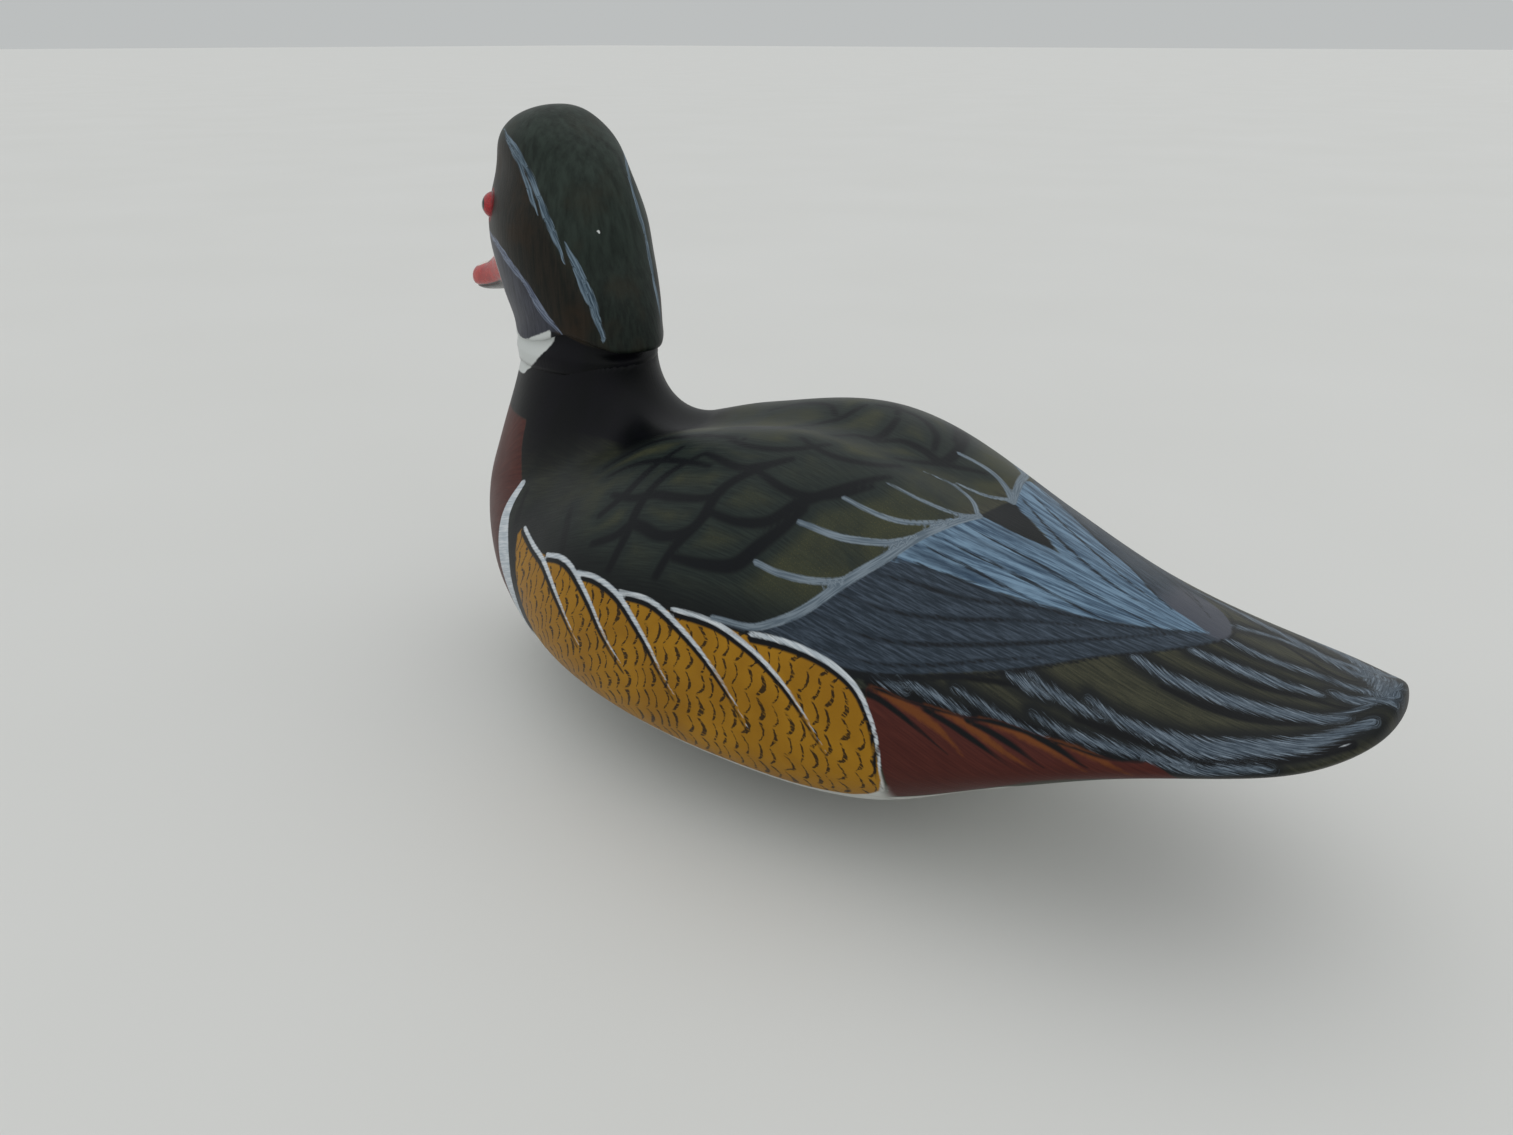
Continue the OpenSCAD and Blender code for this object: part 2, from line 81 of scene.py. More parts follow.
GROOVE = [(0, 0), (0.22, 0), (0.32, 0.65), (0.45, 1), (0.58, 0.55), (0.68, 0), (1, 0)]
SQUARE_TOP = [(0, 2), (0.3, 1.75), (0.5, 2.4), (0.7, 1.6), (1, 2)]
SQUARE_UNDER = [(0, 2), (0.3, 2.4), (0.5, 2.6), (0.7, 2.2), (1, 2)]

NECK_RX = 23.5
NECK_RY = 32.0
NECK_Y = MIDDLE_Y - 119
HEAD_TURN = math.radians(12)
SEAT_EDGE = 0.85
FILLET_EDGE = 1.6
FILLET_REACH = 1.75
NECK_FADE = 2.6
NECK_SPREAD = (85, 100)       # the heights between which the hull widens into the fillet
NECK_LIFT = (60, 85)          # and between which it is drawn up to the seat


def along(keys, t):
    """The smooth curve through the keys, at t."""
    keys = np.array(keys, float)
    last = len(keys) - 1
    before = np.maximum(np.arange(last + 1) - 1, 0)
    after = np.minimum(np.arange(last + 1) + 1, last)
    slope = (keys[after, 1] - keys[before, 1]) / (keys[after, 0] - keys[before, 0])
    t = np.asarray(t, float)
    i = np.clip(np.searchsorted(keys[:, 0], t, side="right") - 1, 0, last - 1)
    step = keys[i + 1, 0] - keys[i, 0]
    u = (t - keys[i, 0]) / step
    return ((2 * u**3 - 3 * u**2 + 1) * keys[i, 1] + (u**3 - 2 * u**2 + u) * step * slope[i]
            + (3 * u**2 - 2 * u**3) * keys[i + 1, 1] + (u**3 - u**2) * step * slope[i + 1])


def bend(value, power):
    return np.sign(value) * np.abs(value) ** (2 / power)


def ease(low, high, value):
    u = np.clip((value - low) / (high - low), 0, 1)
    return u * u * (3 - 2 * u)


def station_y(t):
    return MIDDLE_Y - BODY_LENGTH / 2 * np.cos(math.pi * t)


def hull_point(t, a):
    """A point of the plain hull at angle a round its girth: 0 is the top and pi the bottom."""
    up = np.cos(a) >= 0
    power = np.where(up, along(SQUARE_TOP, t), along(SQUARE_UNDER, t))
    middle = BOTTOM_Z + BODY_HEIGHT * along(WIDEST, t)
    top = BOTTOM_Z + BODY_HEIGHT * along(TOP, t)
    under = BOTTOM_Z + BODY_HEIGHT * along(UNDER, t)
    x = BODY_WIDTH / 2 * along(HALF_WIDTH, t) * bend(np.sin(a), power)
    reach = np.where(up, top - middle, middle - under)
    dip = np.where(up, GROOVE_DEPTH * along(GROOVE, t) * np.exp(-(x / GROOVE_SPREAD) ** 2), 0)
    z = np.maximum(middle + reach * bend(np.cos(a), power) - dip, BOTTOM_Z)
    return np.stack([x, station_y(t) + 0 * x, z], -1)


def to_head(point):
    """Where a point is in the head's frame: to its left, towards the bill, above the joint."""
    x, dy = point[..., 0], point[..., 1] - NECK_Y
    c, s = math.cos(HEAD_TURN), math.sin(HEAD_TURN)
    return np.stack([x * c - dy * s, -(x * s + dy * c), point[..., 2] - SEAT_Z], -1)


def from_head(place):
    x, y = place[..., 0], -place[..., 1]
    c, s = math.cos(HEAD_TURN), math.sin(HEAD_TURN)
    return np.stack([x * c + y * s, -x * s + y * c + NECK_Y, place[..., 2] + SEAT_Z], -1)


def with_neck(point):
    """The hull drawn up into the neck's base: a flat seat with a round fillet outside it."""
    place = to_head(point)
    u, v = place[..., 0] / NECK_RX, place[..., 1] / NECK_RY
    q = np.hypot(u, v)
    turn = math.pi / 2 * np.clip((q - SEAT_EDGE) / (FILLET_EDGE - SEAT_EDGE), 0, 1)
    outer = FILLET_REACH + (q - FILLET_EDGE) * (NECK_FADE - FILLET_REACH) / (NECK_FADE - FILLET_EDGE)
    radius = np.select(
        [q < SEAT_EDGE, q < FILLET_EDGE, q < NECK_FADE],
        [q / SEAT_EDGE, 1 + (FILLET_REACH - 1) * (1 - np.cos(turn)), outer],
        q)
    spread = ease(*NECK_SPREAD, point[..., 2])
    grow = 1 + (radius / np.maximum(q, 1e-9) - 1) * spread
    lift = (1 - np.sin(turn)) * ease(*NECK_LIFT, point[..., 2])
    moved = from_head(np.stack([place[..., 0] * grow, place[..., 1] * grow, place[..., 2]], -1))
    moved[..., 2] = point[..., 2] + (SEAT_Z - point[..., 2]) * lift
    return moved


def even(points, count):
    """Positions, from 0 to 1 along a row of points, that are evenly far apart."""
    gaps = np.linalg.norm(np.diff(points, axis=0), axis=1)
    run = np.concatenate([[0], np.cumsum(gaps)])
    return np.interp(np.linspace(0, run[-1], count), run, np.linspace(0, 1, len(points)))


HULL_ROWS = 300
HULL_COLUMNS = 174            # from the middle of the back to the middle of the bottom
FINE = 500


def hull_grid():
    """Rings of points round the hull, evenly spaced, and each point's station and girth."""
    t = np.linspace(0.0, 1.0, FINE)
    outline = np.stack([station_y(t), BODY_WIDTH / 2 * along(HALF_WIDTH, t),
                        BODY_HEIGHT / 2 * along(TOP, t)], -1)
    rows = even(outline, HULL_ROWS + 2)[1:-1]
    angles = np.linspace(0, math.pi, FINE)
    rings, places = [], []
    for t in rows:
        section = hull_point(np.full(FINE, t), angles)
        gaps = np.linalg.norm(np.diff(section[:, [0, 2]], axis=0), axis=1)
        girth = np.concatenate([[0], np.cumsum(gaps)])
        s = np.linspace(0, girth[-1], HULL_COLUMNS + 1)
        a = np.interp(s, girth, angles)
        left = hull_point(np.full(len(a), t), a)
        right = left[-2:0:-1] * [-1, 1, 1]
        ring = np.concatenate([left, right])
        rings.append(with_neck(ring))
        places.append(np.stack([ring[:, 1], np.concatenate([s, -s[-2:0:-1]]), ring[:, 2]], -1))
    return np.array(rings), np.array(places)


# ---- The head and bill ----

HEAD_KEYS_HEIGHT = 85.0
HEAD_HEIGHT = box_mm("head")[1][2] - SEAT_Z
HEAD_SCALE = HEAD_HEIGHT / HEAD_KEYS_HEIGHT
# The head's outlines, as in part.scad. They started from the output of a second such fit.
FRONT = [(0, 32), (9, 35), (20, 42.5), (34, 49.8), (47.5, 50.6), (61, 46), (73, 40), (80.5, 31),
         (85, 17)]
CREST = [(0, 40), (9, 38.4), (20, 34.6), (34, 28.2), (47.5, 24.6), (61, 20.3), (73, 12),
         (80.5, 2), (85, -8)]
SIDE = [(0, 23.5), (9, 22.5), (20, 24), (34, 25.4), (47.5, 24.6), (61, 20.6), (73, 18.3),
        (80.5, 13.8), (85, 4)]
MIDDLE = [(0, 0), (9, -1), (20, 0), (34, 3), (47.5, 4), (61, 5), (73, 8.5), (80.5, 10), (85, 9)]
# The lower edge of the crest, by angle from the back of the head in degrees: it hangs lowest
# at the back, rises to the sides and drops again along the cheeks.
LEDGE = [(0, 5.2), (25, 5.6), (50, 9.6), (62, 10.6), (85, 6.4), (110, 4.6), (140, 4), (180, 4)]
LEDGE_TUCK = 1.3             # how far the neck is cut in under the ledge at the sides
LEDGE_TURN = (150, 95)       # degrees from the back between which that cut starts
LEDGE_GAP = 0.25             # from the top of the neck up to the ledge
LIP_HEIGHT = 1.1             # the rounded lip of the ledge
LIP_RINGS = [(0.4, -0.02), (0.8, 0.02), (0.96, 0.25)]    # part of the way out to it, and rise
SKIRT = 4.5                  # how far the head's mesh reaches down into the body
SKIRT_RINGS = [(SKIRT, 0.984), (3, 0.988), (1.5, 0.993)]    # depth, and size against the neck
NECK_RINGS = 9
NECK_TAPER = (0.3, 8)        # how far the back of the neck leans in, and over what height
HEAD_RINGS = 108
HEAD_COLUMNS = 288
HEAD_SQUARE = 0.2            # how much squarer than an ellipse the head is behind, and sharper ahead
SQUARE_RISE = (9, 34)        # the heights between which that sets in
CREST_FOOT = 12.0
CROWN_FOOT = 61.0            # where the dome of the crown starts
CROWN_BLEND = (4, 18)        # how far above that it blends in
# The dome's reach at its foot and its power: towards the bill, the back and the sides.
DOME_FRONT, DOME_BACK, DOME_SIDE = (41.0, 1.75), (25.3, 1.72), (20.6, 2.3)


def crown(reach, h, foot, power):
    """Turns a row of reaches into a round dome towards the top of the head."""
    rise = np.clip((h - CROWN_FOOT) / (HEAD_KEYS_HEIGHT - CROWN_FOOT), 0, 1)
    dome = foot * (1 - rise**power) ** (1 / power)
    low, high = CROWN_BLEND
    return reach + (dome - reach) * ease(CROWN_FOOT + low, CROWN_FOOT + high, h)


def head_ring(h, a, neck):
    """A ring of the head at heights h and angles a from the bill, as the neck or as the head."""
    ahead = np.cos(a) >= 0
    middle = along(MIDDLE, h)
    lean, rise = NECK_TAPER
    back = NECK_RY - lean * h / rise if neck else along(CREST, h)
    reach = np.where(ahead, crown(along(FRONT, h) - middle, h, *DOME_FRONT),
                     crown(middle + back, h, *DOME_BACK))
    side = crown(along(SIDE, h), h, *DOME_SIDE)
    square = HEAD_SQUARE * ease(*SQUARE_RISE, h)
    power = np.where(ahead, 2 - square, 2 + square)
    u = side * bend(np.sin(a), power)
    v = middle + reach * bend(np.cos(a), power)
    return np.stack([u, v, h * HEAD_SCALE], -1)


def head_grid():
    """Rings up the head in its own frame: a skirt into the body, the neck, the ledge, the head."""
    a = np.linspace(0, 2 * math.pi, HEAD_COLUMNS, endpoint=False)
    from_back = np.degrees(np.abs(a - math.pi))
    edge = along(LEDGE, from_back)
    behind = ease(*LEDGE_TURN, from_back)
    rings = []
    foot = head_ring(np.zeros_like(a), a, True)
    for depth, size in SKIRT_RINGS:
        ring = foot * [size, size, 1]
        ring[:, 2] = -depth
        rings.append(ring)
    for part in np.linspace(0, 1, NECK_RINGS):
        h = (edge - LEDGE_GAP) * part
        ring = head_ring(h, a, True)
        tuck = 1 - LEDGE_TUCK / NECK_RX * behind * ease(0, 0.8, part)
        rings.append(ring * np.stack([tuck, tuck, np.ones_like(tuck)], -1))
    neck_top = rings[-1]
    lip = head_ring(edge + LIP_HEIGHT, a, False)
    for part, rise in LIP_RINGS:
        ring = neck_top + (lip - neck_top) * part
        ring[:, 2] = neck_top[:, 2] + rise
        rings.append(ring)
    profile = 1 - np.linspace(1, 0, FINE) ** 3
    height = CREST_FOOT + (HEAD_KEYS_HEIGHT - CREST_FOOT) * profile
    side = crown(along(SIDE, height), height, *DOME_SIDE)
    share = even(np.stack([height, side], -1), HEAD_RINGS)[:-1]
    start = edge + LIP_HEIGHT
    for part in np.interp(share, np.linspace(0, 1, FINE), profile):
        rings.append(head_ring(start + (HEAD_KEYS_HEIGHT - start) * part, a, False))
    return np.array(rings), np.array([0.0, MIDDLE[-1][1], HEAD_HEIGHT])


BILL_REACH = 75.5
# Part of the way to the tip, half width, top and underside, with heights above the joint.
BILL = [(0.48, 12.4, 41, 16), (0.6, 10.8, 35.5, 15), (0.7, 9.4, 29.8, 13.6), (0.8, 8.9, 25.4, 12.2),
        (0.9, 8.8, 22.8, 11), (0.95, 8.2, 21.8, 10.8), (0.98, 6.6, 20.6, 11.4),
        (0.995, 3.9, 18.8, 12.8), (1, 1.2, 16.6, 14.8)]
BILL_ROOT_HEIGHT = 28.0
BILL_TIP_HEIGHT = 15.7
BILL_COLUMNS = 96
BILL_RINGS = 80
BILL_SQUARE = 2.2
BILL_MOUTH = 126.0           # angle from the top of the line between the mandibles
MOUTH_START = (0.6, 0.68)    # parts of the way to the tip between which the line sets in
MOUTH_END = (1, 0.97)
MOUTH_SPREAD = 5.0
MOUTH_DEPTH = 0.1            # its depth, as part of the half width


def bill_grid():
    keys = np.array(BILL)
    fine = np.linspace(keys[0, 0], 1, FINE)
    half = along(keys[:, [0, 1]], fine)
    share = even(np.stack([fine * BILL_REACH, half], -1), BILL_RINGS)
    parts = np.interp(share, np.linspace(0, 1, FINE), fine)
    a = np.linspace(0, 2 * math.pi, BILL_COLUMNS, endpoint=False)
    rings, places = [], []
    for k in parts:
        half, top, low = (along(keys[:, [0, i]], k) for i in (1, 2, 3))
        from_top = np.degrees(np.arccos(np.cos(a)))
        cut = np.exp(-((from_top - BILL_MOUTH) / MOUTH_SPREAD) ** 2)
        mouth = 1 - MOUTH_DEPTH * cut * ease(*MOUTH_START, k) * ease(*MOUTH_END, k)
        u = half * bend(np.sin(a), BILL_SQUARE) * mouth
        h = (top + low) / 2 + (top - low) / 2 * bend(np.cos(a), BILL_SQUARE)
        rings.append(np.stack([u, np.full_like(a, k * BILL_REACH), h], -1))
        places.append(np.stack([np.full_like(a, k * 100), from_top, np.full_like(a, half)], -1))
    return np.array(rings), np.array(places)


# ---- Meshes ----

def closed(grid, first, last):
    """The points and faces of a grid of rings that a pole closes at each end."""
    rings, columns = grid.shape[:2]
    points = np.concatenate([grid.reshape(-1, 3), [first], [last]])
    first_pole, last_pole = len(points) - 2, len(points) - 1
    i, j = np.meshgrid(np.arange(rings - 1), np.arange(columns), indexing="ij")
    k = (j + 1) % columns
    near, far = i * columns, (i + 1) * columns
    quads = np.stack([near + j, near + k, far + k, far + j], -1)
    faces = quads.reshape(-1, 4).tolist()
    for j in range(columns):
        k = (j + 1) % columns
        faces.append([first_pole, k, j])
        faces.append([last_pole, (rings - 1) * columns + j, (rings - 1) * columns + k])
    return points, faces


def make_mesh(name, points, faces, attributes, flip=False):
    mesh = bpy.data.meshes.new(name)
    if flip:
        faces = [face[::-1] for face in faces]
    mesh.from_pydata((points * MM).tolist(), [], faces)
    for key, values in attributes.items():
        store(mesh, key, values)
    mesh.shade_smooth()
    piece = bpy.data.objects.new(name, mesh)
    bpy.context.scene.collection.objects.link(piece)
    return piece


def store(mesh, name, values):
    layer = mesh.attributes.new(name, "FLOAT_VECTOR", "POINT")
    layer.data.foreach_set("vector", np.ascontiguousarray(values, np.float32).ravel())


def fetch(mesh, name):
    values = np.zeros(len(mesh.vertices) * 3, np.float32)
    mesh.attributes[name].data.foreach_get("vector", values)
    return values.reshape(-1, 3).astype(float)


def corners(mesh):
    values = np.zeros(len(mesh.vertices) * 3, np.float32)
    mesh.vertices.foreach_get("co", values)
    return values.reshape(-1, 3).astype(float) / MM


def cut_at_seam(piece, keep_above):
    """Cuts a closed mesh at the seam between the body and its bottom board, and caps it."""
    work = bmesh.new()
    work.from_mesh(piece.data)
    geometry = work.verts[:] + work.edges[:] + work.faces[:]
    cut = bmesh.ops.bisect_plane(
        work, geom=geometry, plane_co=(0, 0, SEAM_Z * MM), plane_no=(0, 0, 1),
        clear_inner=keep_above, clear_outer=not keep_above)
    rim = [item for item in cut["geom_cut"] if isinstance(item, bmesh.types.BMEdge)]
    for face in bmesh.ops.holes_fill(work, edges=rim, sides=0)["faces"]:
        face.smooth = False
        for edge in face.edges:
            edge.smooth = False
    work.to_mesh(piece.data)
    work.free()


# ---- Painted shapes: signed distances from strokes and outlines, in millimetres ----

FAR = 1e9
LINE_STEPS = 10
OUTLINE_STEPS = 6


def smooth_line(points, steps=LINE_STEPS):
    """A smooth curve through a few control points of any dimension."""
    points = np.array(points, float)
    t = np.arange(len(points))
    fine = np.linspace(0, len(points) - 1, steps * (len(points) - 1) + 1)
    columns = [along(np.stack([t, points[:, i]], -1), fine) for i in range(points.shape[1])]
    return np.stack(columns, -1)


def nearest_on(line, places, reach):
    """For the places within reach of a line's box: the distance, the run along it, and the side."""
    low, high = line.min(0) - reach, line.max(0) + reach
    near = np.all((places >= low) & (places <= high), axis=1).nonzero()[0]
    at = places[near]
    best = np.full(len(near), FAR)
    run = np.zeros(len(near))
    side = np.zeros(len(near))
    start = 0.0
    for a, b in zip(line[:-1], line[1:]):
        edge = b - a
        length = np.linalg.norm(edge)
        share = np.clip((at - a) @ edge / length**2, 0, 1)
        gap = at - (a + share[:, None] * edge)
        distance = np.linalg.norm(gap, axis=1)
        closer = distance < best
        best[closer] = distance[closer]
        run[closer] = (start + share * length)[closer]
        side[closer] = (edge[0] * gap[:, 1] - edge[1] * gap[:, 0])[closer]
        start += length
    return near, best, run, np.sign(side), start


STROKE_REACH = 9.0
STROKE_GAP = 37.0             # keeps the brush texture of one stroke apart from the next one's


def stroke_field(places, lines, marks):
    """How far inside the nearest stroke each place is, the run along it, and the signed offset."""
    field = np.zeros((len(places), 3))
    field[:, 0] = -STROKE_REACH
    for number, (line, (_, widths)) in enumerate(zip(lines, marks)):
        near, distance, run, side, length = nearest_on(line, places, STROKE_REACH)
        inside = along(list(zip((0, 0.5, 1), widths)), run / length) - distance
        better = inside > field[near, 0]
        values = np.stack([inside, run + STROKE_GAP * number, side * distance], -1)
        field[near[better]] = values[better]
    return field


def strokes(places, marks):
    """The field of a group of strokes. A mark is a stroke's control points, and its half widths
    at its start, middle and end."""
    return stroke_field(places, [smooth_line(points) for points, _ in marks], marks)


def zone(places, outline):
    """Signed distance from a closed outline in a plane: positive inside it."""
    loop = smooth_line([*outline, outline[0]], OUTLINE_STEPS)
    distance = np.full(len(places), FAR)
    inside = np.zeros(len(places), bool)
    for a, b in zip(loop[:-1], loop[1:]):
        edge = b - a
        share = np.clip((places - a) @ edge / max(edge @ edge, 1e-9), 0, 1)
        distance = np.minimum(distance, np.linalg.norm(places - a - share[:, None] * edge, axis=1))
        if b[1] != a[1]:
            crosses = (a[1] > places[:, 1]) != (b[1] > places[:, 1])
            crossing = (b[0] - a[0]) * (places[:, 1] - a[1]) / (b[1] - a[1]) + a[0]
            inside ^= crosses & (places[:, 0] < crossing)
    return np.where(inside, distance, -distance)


def mirrored(marks):
    return marks + [([(y, -s) for y, s in points], widths) for points, widths in marks]


BESIDE_STEPS = 3


def beside(marks, offset, widths):
    """Lines that follow the marks on one side, offset across them."""
    result = []
    for points, _ in marks:
        line = smooth_line(points, BESIDE_STEPS)
        step = np.gradient(line, axis=0)
        across = np.stack([-step[:, 1], step[:, 0]], -1) / np.linalg.norm(step, axis=1)[:, None]
        result.append(([tuple(p) for p in line + offset * across], widths))
    return result


# Body paint, as (y, s): y along the frame, s the girth from the middle of the back, + to the left.
# A program worked out many of these points, and those of the head, from places picked on the photo.
FLANK_EDGES = [
    ([(-89, 62), (-77, 70), (-64, 79), (-50, 94), (-39, 109)], (0.7, 0.75, 0.1)),
    ([(-65, 75.5), (-55, 78), (-46, 83), (-35, 93), (-26, 105), (-17, 116)], (0.8, 0.7, 0.1)),
    ([(-43, 84), (-33, 86), (-21, 92), (-9, 103.5), (-2, 113), (4, 121)], (0.8, 0.75, 0.1)),
    ([(-22, 90), (-9, 91.5), (2, 96), (15, 103), (24, 110), (30, 117)], (0.7, 0.75, 0.1)),
    ([(0, 92.5), (10, 91.5), (18, 91), (32, 92.5), (44, 97), (55, 106)], (0.7, 0.75, 0.1)),
    ([(27, 88), (38, 83.5), (48, 80.5), (57, 80), (63, 83), (68, 91), (70, 107)], (0.7, 0.85, 0.2)),
]
EDGE_SHADOW_OFFSET = 1.3
EDGE_SHADOW_WIDTHS = (1.15, 0.95, 0.3)
BREAST_BAR = [([(-105.5, 44), (-108.5, 57), (-103, 71), (-94.5, 85), (-87, 97), (-80.5, 108)],
               (1.8, 5.4, 1.2))]
BAR_SHADE = [([(-99.5, 47), (-97.5, 59), (-93, 71), (-87.3, 84), (-81.8, 96), (-75.5, 107.5)],
              (1.2, 2.8, 0.9))]
FLANK = [(-94, 64), (-89, 61.5), (-77, 69), (-65, 75), (-55, 78), (-43, 83), (-33, 86), (-22, 90),
         (-9, 91.5), (0, 92.5), (10, 91.5), (27, 88), (38, 83.5), (48, 80.5), (57, 80), (63, 83),
         (68, 91), (70, 101), (68, 110), (62, 118), (54, 125), (36, 135), (5, 142), (-32, 136),
         (-55, 124), (-70, 110), (-79, 96), (-85, 84), (-91, 72)]
GREY_LONG = [([(14, 90), (22, 88), (28, 85.5), (35, 79), (41, 71), (47, 59), (53, 46), (57, 34),
               (61, 23), (65, 11)], (0.8, 1.3, 1.1))]
GREY_LEFT = [
    ([(22, 69.5), (29, 68.6), (36, 66), (42, 62.5), (47, 58)], (0.9, 1.0, 0.7)),
    ([(28, 52.5), (40, 49), (50, 42.5), (54, 38), (57, 33)], (0.9, 1.1, 0.7)),
    ([(34, 37.5), (43, 36), (51, 32.5), (57, 26.5), (60.5, 21)], (0.7, 0.9, 0.6)),
    ([(40, 23), (50, 21), (60, 17), (65, 11)], (0.5, 0.8, 0.6)),
    ([(42, 4.5), (51, 2.5), (59, 5), (65, 12)], (0.4, 0.7, 0.8)),
]
GREY_RIGHT = [
    ([(51, 0.5), (60, -2), (66, -7)], (0.5, 0.8, 0.9)),
    ([(43, -15), (53, -16), (60.5, -13), (67, -6.5)], (0.8, 1.0, 1.1)),
    ([(40, -40.5), (43.5, -44.5), (50, -42.5), (58.5, -32)], (0.5, 1.0, 0.8)),
    ([(28, -54), (40, -51), (50, -44), (57, -34)], (0.9, 1.0, 0.7)),
    ([(22, -70.5), (29, -69.5), (37, -66), (47, -58)], (0.9, 1.0, 0.7)),
    ([(14, -90), (22, -88), (28, -85.5), (35, -79), (41, -71), (47, -59), (53, -46), (58, -34),
      (62, -21), (67, -6)], (0.8, 1.3, 1.1)),
]
SCALLOPS = [
    ([(-62, 40), (-57, 33), (-51, 27), (-36, 25), (-13, 28.5)], (0.6, 1.1, 0.6)),
    ([(-44, 64), (-38, 56), (-35, 44), (-31, 34)], (1.1, 1.4, 0.8)),
    ([(-29, 83), (-27, 72), (-28, 60), (-26, 49), (-18, 38)], (1.2, 1.5, 0.8)),
    ([(-9, 84), (-6, 75), (-1, 65), (0, 53), (6, 43), (13, 34)], (1.1, 1.5, 0.9)),
    ([(1, 61.5), (11, 61.5), (20, 57), (25, 47), (31, 37), (39, 20)], (0.9, 1.5, 0.6)),
    ([(-5, 77.5), (6, 77), (16, 73.5), (21, 65), (25, 56), (27, 48)], (1.0, 1.8, 1.0)),
    ([(6, 43), (17, 45.5), (25, 44), (33, 37), (38, 28)], (0.8, 1.2, 0.6)),
    ([(-41, 74.5), (-32, 72), (-26, 68), (-13, 71.5), (-4, 69), (1, 61.5)], (1.0, 1.6, 1.0)),
    ([(-44, 56), (-34, 58), (-24, 57), (-16, 58), (-5, 57.5), (1, 54)], (0.8, 1.4, 0.8)),
    ([(-18, 38), (-1, 43.5), (7, 40), (13, 34)], (0.7, 1.2, 0.8)),
    ([(-56, 76), (-59, 68), (-63, 59)], (1.2, 1.4, 0.8)),
    ([(-54, 46), (-46, 42), (-33, 41), (-22, 42.5), (-11, 44.5)], (0.8, 1.2, 0.6)),
    ([(-14, 30), (-4, 33), (6, 32), (13, 27), (17, 20)], (0.6, 1.0, 0.7)),
    ([(8, 22), (16, 25), (25, 24), (33, 18), (37, 10)], (0.6, 1.0, 0.7)),
    ([(-30, 12), (-20, 17), (-8, 16), (0, 9)], (0.5, 0.9, 0.6)),
]
SCALLOPS_MIDDLE = [
    ([(-6, 4), (-1, -3), (3, -8), (5, -20)], (0.5, 1.0, 0.5)),
    ([(12, 9), (14, 2), (20, -1), (20.5, -9), (19, -17)], (0.6, 1.2, 0.8)),
    ([(21, 1), (27, -6), (35, -7), (42, -6), (42, -17), (36, -35)], (0.6, 1.5, 0.8)),
    ([(33, 6), (38, 0), (43, -5), (54, -13)], (0.5, 0.9, 0.5)),
]
WING = [(14, 91), (22, 88), (28, 85), (35, 79), (41, 71), (47, 59), (54, 45), (60, 41), (71, 36.5),
        (82, 33), (91, 29), (109, 20), (121, 12), (131, 3), (136.5, 1), (132, 10), (124, 20),
        (114, 30), (102, 42.5), (90.5, 53), (78, 63), (63, 74), (53, 79.5), (43, 83), (34, 84),
        (27, 88)]
WING_RIGHT = [(57, -46), (64, -29), (81, -20), (95, -11.5), (105, -7), (113, -1), (120, 2), (130, 4),
              (136.5, 1), (135, -7), (130, -15), (122, -20), (109, -25), (91, -34), (82, -38), (71, -42)]
WING_LINES = [
    ([(46, 63), (61, 57), (77, 47), (91, 36), (105, 26)], (0.15, 0.5, 0.1)),
    ([(42, 72), (56, 68), (73, 58), (93, 42.5), (112, 25), (126, 10)], (0.15, 0.5, 0.1)),
    ([(52, 52), (63, 46), (77, 40), (91, 31)], (0.15, 0.5, 0.1)),
    ([(48, 78), (60, 73), (76, 62), (90, 50), (102, 40)], (0.05, 0.35, 0.0)),
    ([(60, 41), (71, 37), (82, 34), (93, 29.5), (109, 21), (121, 13), (130, 5)], (0.2, 0.35, 0.1)),
]
TERTIALS_LEFT = [(55, 45), (57, 33), (60, 22), (66, 11), (77, 9.5), (86, 7.5), (95, 8.2), (106, 10),
                 (119, 9), (132, 3), (121, 12), (109, 20.4), (91, 29), (82, 33), (71, 36.5), (63, 39.5)]
TERTIALS_RIGHT = [(67, -6.5), (78, 0), (89, 7), (99, 11), (109, 12), (120, 10), (131, 4), (120.5, 1.5),
                  (113.5, -1), (105, -7.5), (95, -12), (81, -21), (64, -30), (62, -22), (65, -12)]
TERTIAL_LINES = [
    ([(58, 35), (70, 32), (82, 30), (92, 28.3)], (0.2, 0.5, 0.1)),
    ([(59, 30), (75, 26), (92, 23), (110, 20)], (0.2, 0.5, 0.1)),
    ([(62, 20), (78, 17), (99, 15), (121, 12)], (0.2, 0.5, 0.1)),
    ([(68, -11), (86, 1), (101, 6), (117, 7.5)], (0.2, 0.5, 0.1)),
    ([(68, -18), (87, -7), (103, 0), (116, 3)], (0.2, 0.5, 0.1)),
    ([(66, -28), (81, -21), (95, -12), (105, -7.5), (114, -1), (121, 2)], (0.4, 0.5, 0.2)),
]
NOTCH = [(64.5, 12), (67, -7), (77, 0), (88, 7.5), (77, 9.5), (69, 11)]
TIP_LINES = [([(114, 30), (124, 20), (132, 10), (136.5, 1), (136, -7), (131, -17), (124, -19.5),
               (114, -21)],
              (0.3, 0.4, 0.4)),
             ([(27, 88), (43, 84.5), (53, 80.5), (63, 75), (78, 64), (90.5, 54), (102, 43), (114, 30)],
              (1.6, 0.7, 0.3))]
